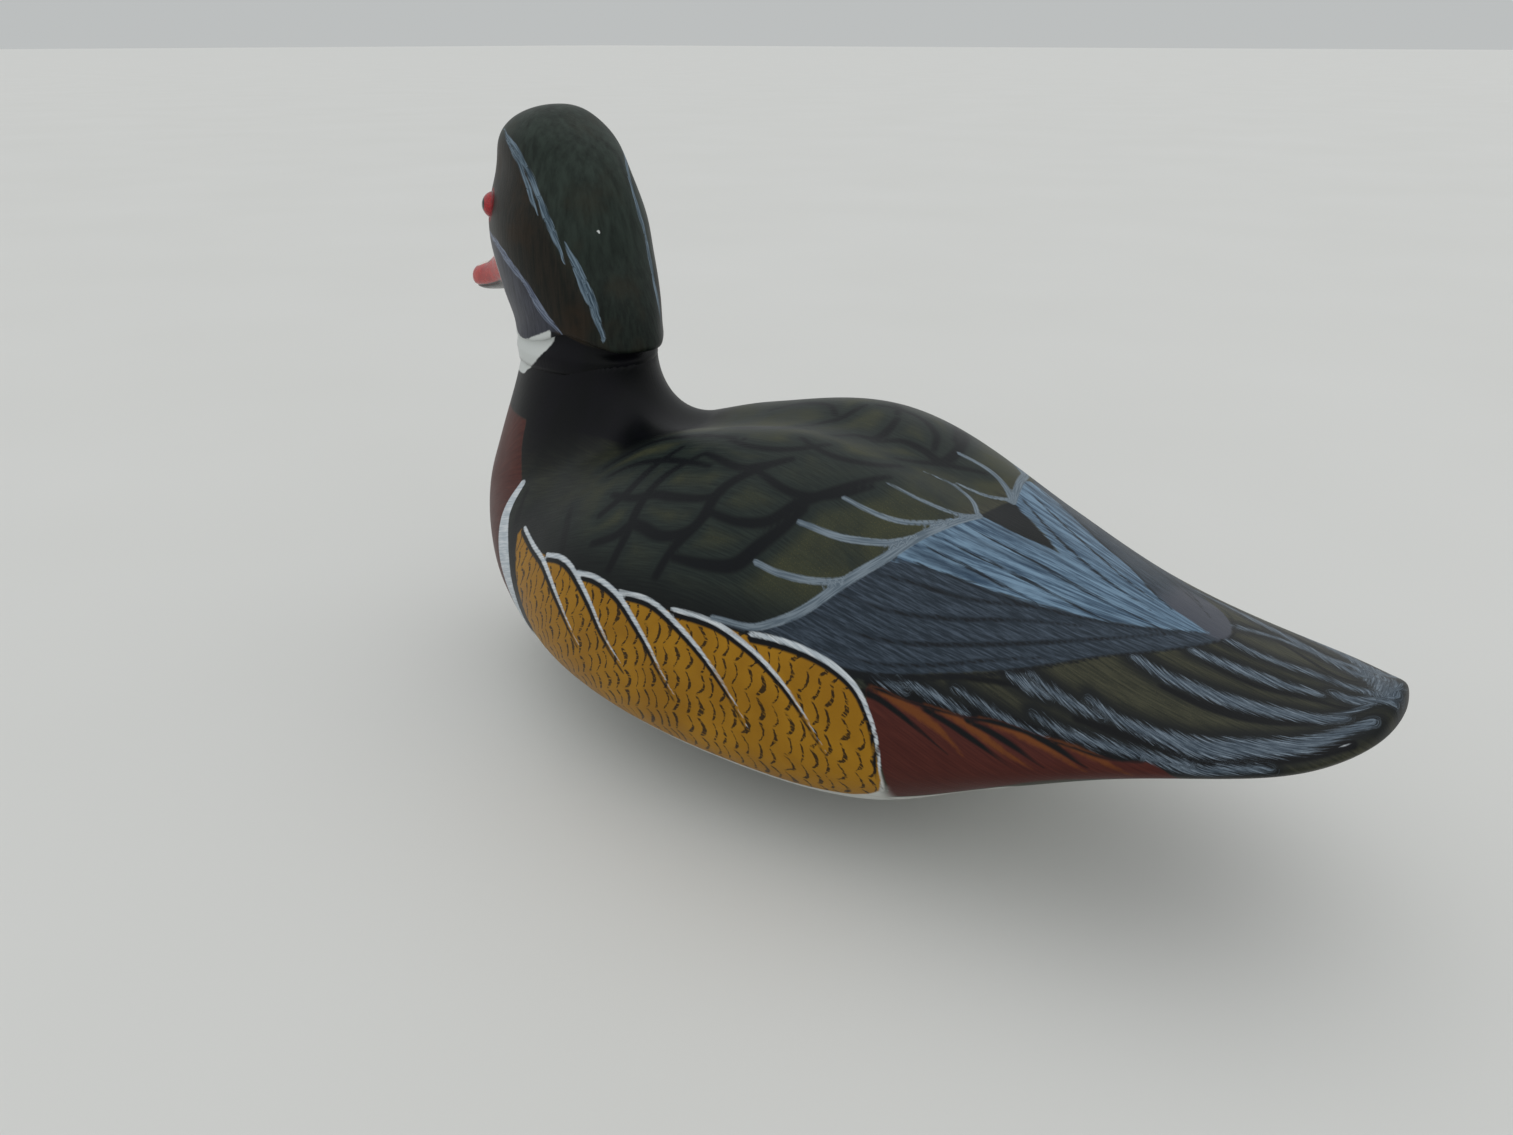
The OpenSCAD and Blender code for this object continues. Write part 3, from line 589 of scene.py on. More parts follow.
TAIL_LEFT = [
    ([(131, 13), (138, 12), (147, 10), (154, 8), (162, 5)], (1.0, 1.7, 0.9)),
    ([(120, 25.5), (129, 26), (139, 24.5), (149, 22), (159, 18), (170, 13)], (1.1, 2.1, 1.4)),
    ([(115, 44), (123, 44.7), (132, 43.5), (144, 40.5), (153, 35), (163, 28), (170, 20), (176, 14)],
     (0.5, 2.6, 1.6)),
    ([(104, 56), (114, 55), (124, 52), (134, 49), (143, 46)], (0.6, 1.2, 0.9)),
    ([(84, 63), (94, 62), (104, 60.5), (109, 59)], (0.4, 0.9, 0.5)),
    ([(95, 50.5), (100, 50.3), (106, 49.6)], (1.0, 1.2, 0.6)),
    ([(99, 47.3), (108, 47.8), (120, 46.6)], (0.5, 1.2, 0.6)),
    ([(69, 70.5), (79, 68.5), (89, 66.5)], (0.4, 1.1, 0.5)),
    ([(63, 74.7), (67, 73.5), (72, 72)], (0.7, 1.0, 0.6)),
    ([(133, 50), (145, 46.5), (153, 41.5), (160, 37)], (0.7, 1.2, 0.6)),
]
TAIL_MIDDLE = [
    ([(136, 2), (148, 0), (160, -4), (170, -3), (176, 3)], (1.0, 1.1, 1.2)),
    ([(135, -8), (146, -17), (157, -19), (166, -19), (171, -12), (178, 3)], (1.0, 1.4, 2.2)),
    ([(165, 2), (172, 4), (179, 6)], (1.0, 1.9, 1.0)),
    ([(166, 14), (173, 7), (178, 0), (175, -9), (166, -22)], (0.6, 1.4, 0.6)),
]
CHIP = [([(-9.6, 29), (-9, 29.2), (-8.4, 29)], (0.9, 1.1, 0.8))]
SCRATCH = [([(171.4, 24.2), (172.8, 22.8), (173.8, 21.7)], (-0.1, 0.05, -0.1))]
TAIL_DARK = [
    ([(62, 77), (77, 71.5), (88, 66.5), (98, 62), (113, 57), (123, 54.5), (132, 50.5)],
     (1.2, 1.6, 1.2)),
    ([(114, 50.5), (126, 47.5), (138, 44.5), (146, 43), (156, 37), (166, 29.5), (174, 22)],
     (0.9, 1.8, 1.4)),
    ([(129, 29.7), (142, 28.3), (155, 23.5), (168, 15)], (0.8, 1.7, 0.8)),
    ([(135, 15), (148, 13.7), (162, 8.5), (173, 8)], (0.4, 1.0, 0.5)),
    ([(80, 62), (92, 55), (102, 50)], (0.5, 0.9, 0.4)),
]
RUMP = [(62, 78.5), (66, 76), (72, 74.5), (79, 71.5), (88, 67.8), (97, 62.8), (107, 59.8), (118, 56.6),
        (127, 54.2), (134, 50.5), (139, 51), (142, 55), (140, 57), (124, 64), (111, 72), (101, 82),
        (86, 99), (74, 109), (68, 113), (70, 108), (70.5, 101), (68, 91), (64, 84)]
ORANGE = [
    ([(63, 77.7), (68, 76.4), (77, 75.2), (84, 75.2), (91, 77)], (0.5, 1.4, 0.1)),
    ([(78, 72), (85, 69.8), (92, 69), (100, 69), (108, 68.5)], (0.4, 1.1, 0.1)),
    ([(92, 65.6), (101, 62.8), (112, 61.1), (121, 61.5)], (0.5, 1.1, 0.1)),
    ([(109, 59.3), (118, 56.9), (127, 56.2), (131, 57)], (0.4, 0.9, 0.1)),
]
RUMP_DARK = [
    ([(62, 80), (67, 78.8), (75, 78.6), (87, 79.6)], (0.9, 0.7, 0.1)),
    ([(78, 73), (86, 71.9), (95, 71.4), (103, 71.5)], (0.6, 0.8, 0.1)),
    ([(89, 68.3), (96, 66.7), (103, 66.1), (111, 66.4)], (0.5, 0.8, 0.1)),
    ([(104, 61), (112, 59.8), (121, 60)], (0.5, 0.8, 0.1)),
]
MAROON = [(-104, 46), (-113, 35), (-114, 28), (-122, 17), (-130, 4), (-140, -9), (-175, -9), (-178, 60),
          (-165, 130), (-120, 128), (-92, 118), (-76, 112), (-84, 98), (-92, 86), (-101, 72),
          (-107, 58)]

# Head paint, as (v, h): towards the bill from the neck axis, and above the neck joint.
CROWN = [(60, 70), (30, 72), (15, 73), (5, 69), (-4, 60), (-12, 50), (-18, 38), (-24, 29), (-29, 18),
         (-29.5, 8), (-60, -4), (-60, 100), (60, 100)]
WHITE_THROAT = [(36, 43), (33.5, 37), (28.5, 32), (26, 25), (26.5, 18), (24, 10), (16, 5.6), (7, 4.6),
                (-2, 7.6), (-8, 9.8), (-11.4, 11), (-11, 7.5), (-7, 2.5), (-1, -2.5), (6, -6.5),
                (15, -9.5), (60, -11), (60, 20), (60, 32), (42, 40)]
PANEL = [(35, 40.5), (26, 38.5), (17, 37.2), (7, 32.7), (0, 28.6), (-4.5, 24.5), (-8, 20.4), (-12, 15.6),
         (-16, 11.8), (-10, 9), (-2, 6), (7, 3), (16, 4), (27, 8), (29, 18), (28.5, 25), (30.5, 31),
         (35, 36)]
# Head strokes, as (u, v, h), with u to the left.
CREST_LEFT = [
    ([(13.5, 24, 75.4), (17, 15, 73.4), (18.6, 6.5, 70), (19.4, 0, 64.8), (19.8, -5, 59)],
     (0.1, 0.94, 0.15)),
    ([(16.6, 17, 73), (19, 7, 67.8), (20.2, 0.5, 61.5), (20.9, -4, 55.5)], (0.1, 1.08, 0.15)),
    ([(18.8, 7.5, 69.6), (19.6, -1, 63.4), (20, -7.5, 56.5), (20, -11.5, 50.5)], (0.15, 1.22, 0.2)),
    ([(19.9, 1.5, 63), (20.7, -4.5, 55.8), (20.9, -9, 50)], (0.1, 1.08, 0.1)),
    ([(19.6, -4.5, 60), (20.1, -10.5, 52.5), (19.8, -15.2, 45.5), (19.2, -17.8, 40.5)],
     (0.15, 1.28, 0.1)),
    ([(20.6, -9, 53.5), (20.3, -13.6, 47), (19.4, -17.2, 41), (18.7, -19.4, 35)],
     (0.1, 1.08, 0.08)),
    ([(17.6, -18.6, 42.2), (16.4, -21.4, 36.6), (15, -24, 31), (13.9, -26.4, 25.5)],
     (0.15, 1.35, 0.15)),
    ([(17.2, -20.4, 38), (15.9, -23.4, 31.6), (14.9, -26, 25), (13.6, -28.2, 19)],
     (0.15, 1.28, 0.1)),
    ([(15.6, -22.8, 34), (14.3, -26, 27), (13.2, -28.6, 20.5), (11.6, -30, 13)],
     (0.15, 1.35, 0.12)),
    ([(14.6, -26.4, 25), (13.4, -28.8, 18), (11.4, -30.2, 11.5), (9.8, -30, 6.8)],
     (0.15, 1.01, 0.08)),
]
CREST_RIGHT = [
    ([(-13.5, 24, 75.4), (-16.4, 14, 73.6), (-16.6, 4, 71.5), (-15, -6, 68), (-12.6, -13, 64)],
     (0.1, 1.08, 0.2)),
    ([(-15.4, 2, 71.2), (-13.6, -9, 66.6), (-11.4, -16, 61.4), (-11.2, -19.6, 55)],
     (0.15, 1.08, 0.15)),
    ([(-10.6, -17, 61), (-11, -19.6, 55), (-12, -21.2, 48), (-13, -22.2, 42), (-13.4, -23.8, 36)],
     (0.2, 1.2, 0.1)),
    ([(-12.4, -21.8, 45), (-13.4, -23.4, 38), (-13.2, -26, 30.5), (-12, -29, 24)],
     (0.15, 1.2, 0.15)),
    ([(-13.2, -25.6, 32), (-12, -28.8, 24.5), (-11.8, -31, 17), (-10.6, -31.5, 11)],
     (0.15, 1.2, 0.1)),
]
CHEEK = [
    ([(17.8, 35, 40), (22, 22, 38.4), (24.8, 11, 34.8), (25.3, 4, 31.2), (25, -1.5, 27)],
     (0.3, 1.4, 0.2)),
    ([(23.4, 18, 36.8), (25.3, 7, 32), (25, 0, 27.8), (24, -5.4, 23)], (0.2, 1.54, 0.2)),
    ([(25, 3, 30.6), (24.6, -2.6, 26), (23.4, -8, 20), (21.6, -13.6, 14.4)], (0.2, 1.61, 0.2)),
    ([(24.6, -1.6, 25.6), (23.4, -6.6, 20), (22, -11.6, 15), (20, -17, 10.8)], (0.2, 1.33, 0.3)),
]
HEAD_CHIP = (7.4, -24.2, 45)


def snapped(points, place):
    """A line drawn in space, moved to the nearest points of the head and smoothed there."""
    line = smooth_line(points, OUTLINE_STEPS)
    line = np.array([place[np.argmin(((place - p) ** 2).sum(1))] for p in line])
    line[1:-1] = (line[:-2] + line[1:-1] + line[2:]) / 3
    return line


def head_strokes(place, marks):
    return stroke_field(place, [snapped(points, place) for points, _ in marks], marks)


def three(a, b, c):
    return np.stack([a, b, c], -1)


def paint_body(piece):
    """Stores what the body's paint needs at every vertex."""
    mesh = piece.data
    place = fetch(mesh, "place")
    flat = place[:, :2]
    both = np.stack([flat[:, 0], np.abs(flat[:, 1])], -1)
    head = to_head(corners(mesh))
    store(mesh, "white", strokes(flat, mirrored(FLANK_EDGES) + mirrored(BREAST_BAR) + SCRATCH))
    under = beside(FLANK_EDGES, EDGE_SHADOW_OFFSET, EDGE_SHADOW_WIDTHS)
    store(mesh, "black", strokes(flat, mirrored(under + TAIL_DARK + RUMP_DARK) + CHIP))
    store(mesh, "shade", strokes(both, BAR_SHADE))
    store(mesh, "grey", strokes(flat, GREY_LONG + GREY_LEFT + GREY_RIGHT))
    store(mesh, "scallop", strokes(flat, mirrored(SCALLOPS) + SCALLOPS_MIDDLE))
    store(mesh, "slate", strokes(flat, mirrored(TAIL_LEFT[1:]) + TAIL_LEFT[:1] + TAIL_MIDDLE))
    store(mesh, "orange", strokes(both, ORANGE))
    lines = mirrored(WING_LINES) + TERTIAL_LINES + TIP_LINES + mirrored(TIP_LINES[1:])
    store(mesh, "lines", strokes(flat, lines))
    tertials = np.maximum(zone(flat, TERTIALS_LEFT), zone(flat, TERTIALS_RIGHT))
    wing = np.maximum(zone(both, WING), zone(flat, WING_RIGHT))
    store(mesh, "wings", three(wing, tertials, zone(flat, NOTCH)))
    store(mesh, "zones", three(zone(both, FLANK), zone(both, RUMP), zone(both, MAROON)))
    from_neck = np.hypot(head[:, 0] / NECK_RX, head[:, 1] / NECK_RY)
    store(mesh, "collar", three(zone(head[:, 1:], WHITE_THROAT), from_neck, head[:, 2]))


def paint_head(piece):
    mesh = piece.data
    place = fetch(mesh, "place")
    side = place[:, 1:]
    other_cheek = [([(-u, v, h) for u, v, h in points], widths) for points, widths in CHEEK]
    store(mesh, "crest", head_strokes(place, CREST_LEFT + CREST_RIGHT))
    store(mesh, "cheek", head_strokes(place, CHEEK + other_cheek))
    store(mesh, "zones", three(zone(side, CROWN), zone(side, WHITE_THROAT), zone(side, PANEL)))
    eye = to_head(sum(box_mm("left_eye")) / 2)
    from_eye = np.linalg.norm(three(np.abs(place[:, 0]), place[:, 1], place[:, 2]) - eye, axis=1)
    from_chip = np.linalg.norm(place - HEAD_CHIP, axis=1)
    back = np.abs(np.degrees(np.arctan2(place[:, 0], -place[:, 1])))
    store(mesh, "eye", three(from_eye, along(LEDGE, back) * HEAD_SCALE - place[:, 2], from_chip))


# ---- Materials ----

def colour(red, green, blue):
    """A linear colour from the eight-bit values that a colour chart gives."""
    values = np.array([red, green, blue]) / 255
    linear = np.where(values <= 0.04045, values / 12.92, ((values + 0.055) / 1.055) ** 2.4)
    return (*linear.tolist(), 1.0)


class Coat:
    """A material written as layers of paint over one principled shader. Paints are eight-bit
    colours, places are in millimetres, and base is the colour of the layers so far."""

    def __init__(self, name, roughness=0.5, metallic=0.0, specular=0.5):
        self.material = bpy.data.materials.new(name)
        self.material.use_nodes = True
        self.tree = self.material.node_tree
        self.shader = self.tree.nodes["Principled BSDF"]
        self.shader.inputs["Roughness"].default_value = roughness
        self.shader.inputs["Metallic"].default_value = metallic
        self.shader.inputs["Specular IOR Level"].default_value = specular
        self.base = None

    def put(self, value, socket):
        if isinstance(value, bpy.types.NodeSocket):
            self.tree.links.new(value, socket)
        else:
            socket.default_value = value

    def node(self, kind, inputs=(), **settings):
        made = self.tree.nodes.new(kind)
        for key, value in settings.items():
            setattr(made, key, value)
        for socket, value in inputs:
            self.put(value, made.inputs[socket])
        return made

    def attribute(self, name):
        source = self.node("ShaderNodeAttribute", attribute_name=name).outputs["Vector"]
        split = self.node("ShaderNodeSeparateXYZ", [(0, source)])
        return (source, *split.outputs[:3])

    def place(self):
        """Where a point is on the object."""
        return self.scaled(self.node("ShaderNodeTexCoord").outputs["Object"], 1 / MM)

    def math(self, kind, first, second=0.0, third=0.0):
        made = self.node("ShaderNodeMath", [(0, first), (1, second), (2, third)], operation=kind)
        return made.outputs[0]

    def vector(self, kind, first, second=(0.0, 0.0, 0.0)):
        made = self.node("ShaderNodeVectorMath", [(0, first), (1, second)], operation=kind)
        return made.outputs["Value" if kind == "DOT_PRODUCT" else "Vector"]

    def scaled(self, vector, factor):
        return self.vector("MULTIPLY", vector, factor if isinstance(factor, tuple) else (factor,) * 3)

    def turned(self, x, y, degrees):
        """The same flat place measured along and across a direction."""
        c, s = math.cos(math.radians(degrees)), math.sin(math.radians(degrees))
        first = self.math("MULTIPLY_ADD", x, c, self.math("MULTIPLY", y, s))
        return self.joined(first, self.math("MULTIPLY_ADD", y, c, self.math("MULTIPLY", x, -s)))

    def joined(self, x, y, z=0.0):
        return self.node("ShaderNodeCombineXYZ", [(0, x), (1, y), (2, z)]).outputs[0]

    def noise(self, vector, factor, detail=2.0, rough=0.5, twist=0.0):
        """Noise over a place; the factor is how many features fit in a millimetre."""
        made = self.node("ShaderNodeTexNoise", [
            ("Vector", self.scaled(vector, factor)), ("Scale", 1.0), ("Detail", detail),
            ("Roughness", rough), ("Distortion", twist)])
        return made.outputs["Fac"]

    def step(self, value, low, high, bottom=0.0, top=1.0):
        made = self.node("ShaderNodeMapRange", [
            (0, value), (1, low), (2, high), (3, bottom), (4, top)], interpolation_type="SMOOTHSTEP")
        return made.outputs[0]

    def ragged(self, field, noise, amount):
        """A signed distance whose edge wanders by up to half the amount each way."""
        return self.math("MULTIPLY_ADD", self.math("SUBTRACT", noise, 0.5), amount, field)

    def frayed(self, field, noise, amount, low, high):
        """The mask of a painted shape with such an edge."""
        return self.step(self.ragged(field, noise, amount), low, high)

    def product(self, *values):
        result = values[0]
        for value in values[1:]:
            result = self.math("MULTIPLY", result, value)
        return result

    def mix(self, amount, below, above):
        made = self.node("ShaderNodeMix", data_type="RGBA")
        for socket, value in ((0, amount), (6, below), (7, above)):
            self.put(colour(*value) if isinstance(value, tuple) else value, made.inputs[socket])
        return made.outputs[2]

    def blend(self, noise, low, high, dark, light):
        """Two paints worked into each other."""
        return self.mix(self.step(noise, low, high), dark, light)

    def lay(self, paint, *masks):
        """Lays a paint over the base where all the masks are."""
        self.base = self.mix(self.product(*masks), self.base, paint)

    def finish(self, rough=None, height=None, depth=0.1):
        """Connects the base, the roughness, and a bump whose height is in millimetres."""
        self.put(self.base, self.shader.inputs["Base Color"])
        if rough is not None:
            self.put(rough, self.shader.inputs["Roughness"])
        if height is not None:
            bump = self.node("ShaderNodeBump", [
                ("Height", height), ("Distance", depth * MM), ("Strength", 1.0)])
            self.put(bump.outputs[0], self.shader.inputs["Normal"])
        return self.material


NEAR_BLACK = (8, 10, 13)
OFF_WHITE = (205, 209, 208)
THROAT_WHITE = (196, 200, 198)
CHESTNUT_DARK = (62, 26, 22)
CHESTNUT = (80, 38, 31)
# Black neck paint, deepened below NEAR_BLACK as painted shade under the head.
NECK_BLACK_AND_SHADE = ((4, 6, 8), (9, 9, 15))
PAINT_SHINE = 0.13
PAINT_BUMP = 0.12
BARB_SLANT = -12
COMB_SLANT = 20
TERTIAL_FOCUS = (150.0, 4.0)
RIPPLE_WIDTH = 7.4            # of one scallop of the flank's wavy lines
RIPPLE_SPACING = 4.2
RIPPLE_DROP = -0.42


def body_coat():
    """The decoy's plumage, layer by layer."""
    coat = Coat("body_paint", specular=PAINT_SHINE)
    _, y, s, z = coat.attribute("place")
    flat = coat.joined(y, s)
    side_s = coat.math("ABSOLUTE", s)
    slant = coat.turned(y, side_s, BARB_SLANT)
    bristle = coat.noise(flat, (0.10, 1.5, 1), detail=3, rough=0.6)
    barbs = coat.noise(slant, (0.13, 1.3, 1), detail=3, rough=0.7)
    speck = coat.noise(flat, (2.4, 2.4, 1), detail=2, rough=0.7)
    cloud = coat.noise(flat, (0.045, 0.045, 1), detail=3, rough=0.55, twist=0.4)
    wander = coat.noise(flat, (0.5, 0.5, 1), detail=3, rough=0.65)
    white_in, black_in, shade_in, scallop_in, orange_in, lines_in = (
        coat.attribute(name)[1] for name in ("white", "black", "shade", "scallop", "orange", "lines"))
    _, grey_in, grey_run, grey_off = coat.attribute("grey")
    _, slate_in, slate_run, slate_off = coat.attribute("slate")
    _, wing_in, tertial_in, notch_in = coat.attribute("wings")
    _, flank_in, rump_in, breast_in = coat.attribute("zones")
    _, collar_in, neck_q, neck_h = coat.attribute("collar")

    def edge(field, soft, wild):
        """A painted edge: soft is its blur in millimetres, wild how much it wanders."""
        return coat.frayed(field, wander, wild, -soft, soft)

    # The back: dark olive with lighter feather middles and gold specks.
    middle = coat.product(coat.step(scallop_in, -1.5, -6.5), coat.step(cloud, 0.25, 0.75),
                          coat.step(flank_in, -4, -20))
    coat.base = coat.blend(bristle, 0.3, 0.75, (24, 31, 30), (38, 46, 42))
    coat.lay((62, 64, 44), middle, 0.75)
    coat.lay((92, 88, 54), coat.step(speck, 0.55, 0.68), middle, 0.6)
    coat.lay((7, 10, 15), coat.frayed(scallop_in, bristle, 1.6, -1.3, 0.5), 0.95)
    coat.lay(NEAR_BLACK, coat.step(flank_in, -13, -1), coat.step(y, 48, 20), 0.75)
    coat.lay((14, 18, 18), coat.step(y, -38, -78), coat.step(bristle, 0.7, 0.35, 0.45, 0.8))
    back = coat.base

    # The tail: olive, black and slate feathers, streaked towards the tip.
    coat.base = coat.blend(bristle, 0.3, 0.7, (36, 38, 30), (62, 62, 48))
    coat.lay((88, 84, 60), coat.step(speck, 0.58, 0.7), 0.4)
    coat.lay((20, 23, 24), coat.step(slate_in, -5.5, -1.0))
    coat.base = coat.mix(coat.step(y, 57, 64), back, coat.base)
    coat.lay(NEAR_BLACK, coat.step(black_in, -0.5, 0.6))
    combed = coat.turned(slate_run, slate_off, COMB_SLANT)
    comb = coat.noise(combed, (0.12, 1.8, 1), detail=4, rough=0.75)
    slate_paint = coat.blend(comb, 0.4, 0.75, (54, 66, 78), (130, 144, 157))
    coat.lay(slate_paint, coat.frayed(slate_in, comb, 7.0, -0.8, 1.2), 0.92)

    # Folded wings and tertials.
    wing_paint = coat.blend(barbs, 0.38, 0.72, (32, 41, 50), (66, 77, 90))
    wing_paint = coat.mix(coat.product(coat.step(bristle, 0.6, 0.75), 0.3), wing_paint, (76, 88, 100))
    # Painted light: the right wing's tip is laid in a lighter purple-grey, where light falls on it.
    right_tip_painted_light = coat.product(coat.step(y, 113, 121), coat.step(s, 6, 2), coat.step(s, -20, -16))
    wing_paint = coat.mix(right_tip_painted_light, wing_paint, coat.mix(barbs, (56, 59, 67), (80, 83, 93)))
    coat.lay(wing_paint, edge(wing_in, 0.5, 1.2))
    coat.lay((17, 20, 22), edge(notch_in, 0.5, 1.0))
    focus_y, focus_s = TERTIAL_FOCUS
    fan = coat.joined(coat.math("ARCTAN2", coat.math("SUBTRACT", s, focus_s),
                                coat.math("SUBTRACT", focus_y, y)), y)
    rays = coat.noise(fan, (46, 0.05, 1), detail=4, rough=0.7)
    feathers = coat.noise(fan, (13, 0.02, 1), detail=2)
    tertial_paint = coat.blend(rays, 0.34, 0.66, (48, 68, 88), (112, 138, 160))
    gaps = coat.product(coat.step(feathers, 0.5, 0.3), 0.45)
    tertial_paint = coat.mix(gaps, tertial_paint, (34, 46, 60))
    coat.lay(tertial_paint, coat.frayed(tertial_in, rays, 3.5, -0.5, 0.5))
    coat.lay((13, 16, 20), coat.frayed(lines_in, barbs, 2.6, -0.5, 0.3), 0.9)

    # The chestnut rump with its orange streaks.
    chestnut = coat.blend(bristle, 0.25, 0.8, CHESTNUT_DARK, CHESTNUT)
    rump = edge(rump_in, 0.4, 0.6)
    coat.lay(chestnut, rump)
    coat.lay((102, 56, 24), coat.frayed(orange_in, wander, 1.4, -0.7, 0.8),
             coat.step(rump_in, -1.5, 0.5))
    coat.lay(NEAR_BLACK, coat.step(black_in, -0.5, 0.4), rump)

    # The white belly, in front of the tail's dark underside.
    rear = coat.product(coat.step(rump_in, -0.2, -1.4), coat.step(side_s, 60, 78),
                        coat.step(y, 128, 112))
    belly = coat.math("MAXIMUM", coat.product(coat.step(z, 40.5, 38.5), coat.step(y, 72, 66)),
                      coat.product(rear, coat.step(y, 64, 70), coat.step(z, 47, 44)))
    coat.lay(coat.blend(bristle, 0.3, 0.8, (186, 186, 180), OFF_WHITE), belly)
    coverts = coat.blend(bristle, 0.3, 0.7, (38, 40, 42), (70, 74, 78))
    coat.lay(coverts, coat.step(y, 112, 128), coat.step(side_s, 58, 68), coat.step(rump_in, 0, -1),
             coat.step(slate_in, 0, -2))

    # The ochre flank, with its fine wavy lines.
    crest = coat.math("ABSOLUTE", coat.math("SINE", coat.product(
        coat.math("MULTIPLY_ADD", y, 0.22, side_s), math.pi / RIPPLE_WIDTH)))
    ripple = coat.math("MULTIPLY_ADD", crest, RIPPLE_DROP, coat.product(y, 1 / RIPPLE_SPACING))
    ripple = coat.math("MULTIPLY_ADD", coat.noise(flat, (0.10, 0.06, 1), detail=1), 1.4, ripple)
    ripple = coat.math("MULTIPLY_ADD", coat.noise(flat, (1.1, 1.1, 1), detail=1), 0.22, ripple)
    off_line = coat.math("ABSOLUTE", coat.math("SUBTRACT", coat.math("FRACT", ripple), 0.5))
    thick = coat.step(coat.noise(flat, (0.22, 0.16, 1), detail=2), 0.36, 0.66, 0.045, 0.15)
    dashes = coat.noise(flat, (0.25, 1.5, 1), detail=2, rough=0.7)
    ink = coat.product(coat.step(coat.math("SUBTRACT", off_line, thick), 0.045, -0.03),
                       coat.step(dashes, 0.36, 0.46), coat.step(crest, 0.04, 0.3))
    ochre = coat.blend(cloud, 0.3, 0.7, (140, 98, 16), (156, 112, 22))
    ochre = coat.mix(coat.product(coat.step(bristle, 0.6, 0.8), 0.3), ochre, (122, 84, 14))
    ochre = coat.mix(coat.product(ink, 0.92), ochre, (28, 20, 10))
    coat.lay(ochre, edge(coat.math("SUBTRACT", flank_in, 0.9), 0.35, 0.8))

    # The chestnut breast, and the white and black bar behind it.
    breast = coat.product(edge(breast_in, 0.6, 1.4), coat.step(neck_h, -22.5, -24.5),
                          coat.step(z, 38, 40.5))
    coat.lay(chestnut, breast)
    hairs = coat.noise(slant, (1.5, 0.25, 1), detail=2, rough=0.6)
    coat.lay(NEAR_BLACK, coat.step(black_in, -0.45, 0.35), coat.step(flank_in, -3, -1))
    coat.lay(coat.blend(bristle, 0.35, 0.7, (168, 178, 186), (205, 210, 214)),
             coat.frayed(white_in, bristle, 0.5, -0.3, 0.3))
    coat.lay(NEAR_BLACK, coat.frayed(shade_in, hairs, 3.5, -1.0, 1.2), coat.step(z, 36, 40),
             coat.step(y, -40, -60))

    # Grey feather edges on the back.
    strand = coat.noise(coat.joined(grey_run, grey_off), (0.1, 1.8, 1), detail=2)
    coat.lay(coat.blend(strand, 0.35, 0.65, (84, 97, 108), (116, 128, 138)),
             coat.frayed(grey_in, bristle, 0.5, -0.3, 0.3))

    # The near-black neck, darker than the other black paint as painted shade under the head, with the
    # white collar.
    shoulder = coat.product(coat.step(neck_h, -24.5, -22.5), coat.step(neck_q, 2.3, 1.7))
    stem = coat.product(coat.step(neck_q, 1.75, 1.2), coat.step(neck_h, -58, -46))
    coat.lay(coat.blend(cloud, 0.35, 0.65, *NECK_BLACK_AND_SHADE), coat.math("MAXIMUM", stem, shoulder),
             coat.step(breast, 0.6, 0.1))
    coat.lay(THROAT_WHITE, edge(collar_in, 0.3, 0.5), coat.step(neck_h, -12.5, -11))

    raised = coat.math("MAXIMUM", coat.step(white_in, -0.4, 0.5), coat.step(grey_in, -0.4, 0.5))
    brushed = coat.math("ADD", coat.product(bristle, 0.55), coat.product(speck, 0.25))
    rough = coat.math("ADD", coat.step(cloud, 0.2, 0.8, 0.36, 0.46), coat.product(raised, 0.05))
    return coat.finish(rough, coat.math("MULTIPLY_ADD", raised, 0.9, brushed), PAINT_BUMP)


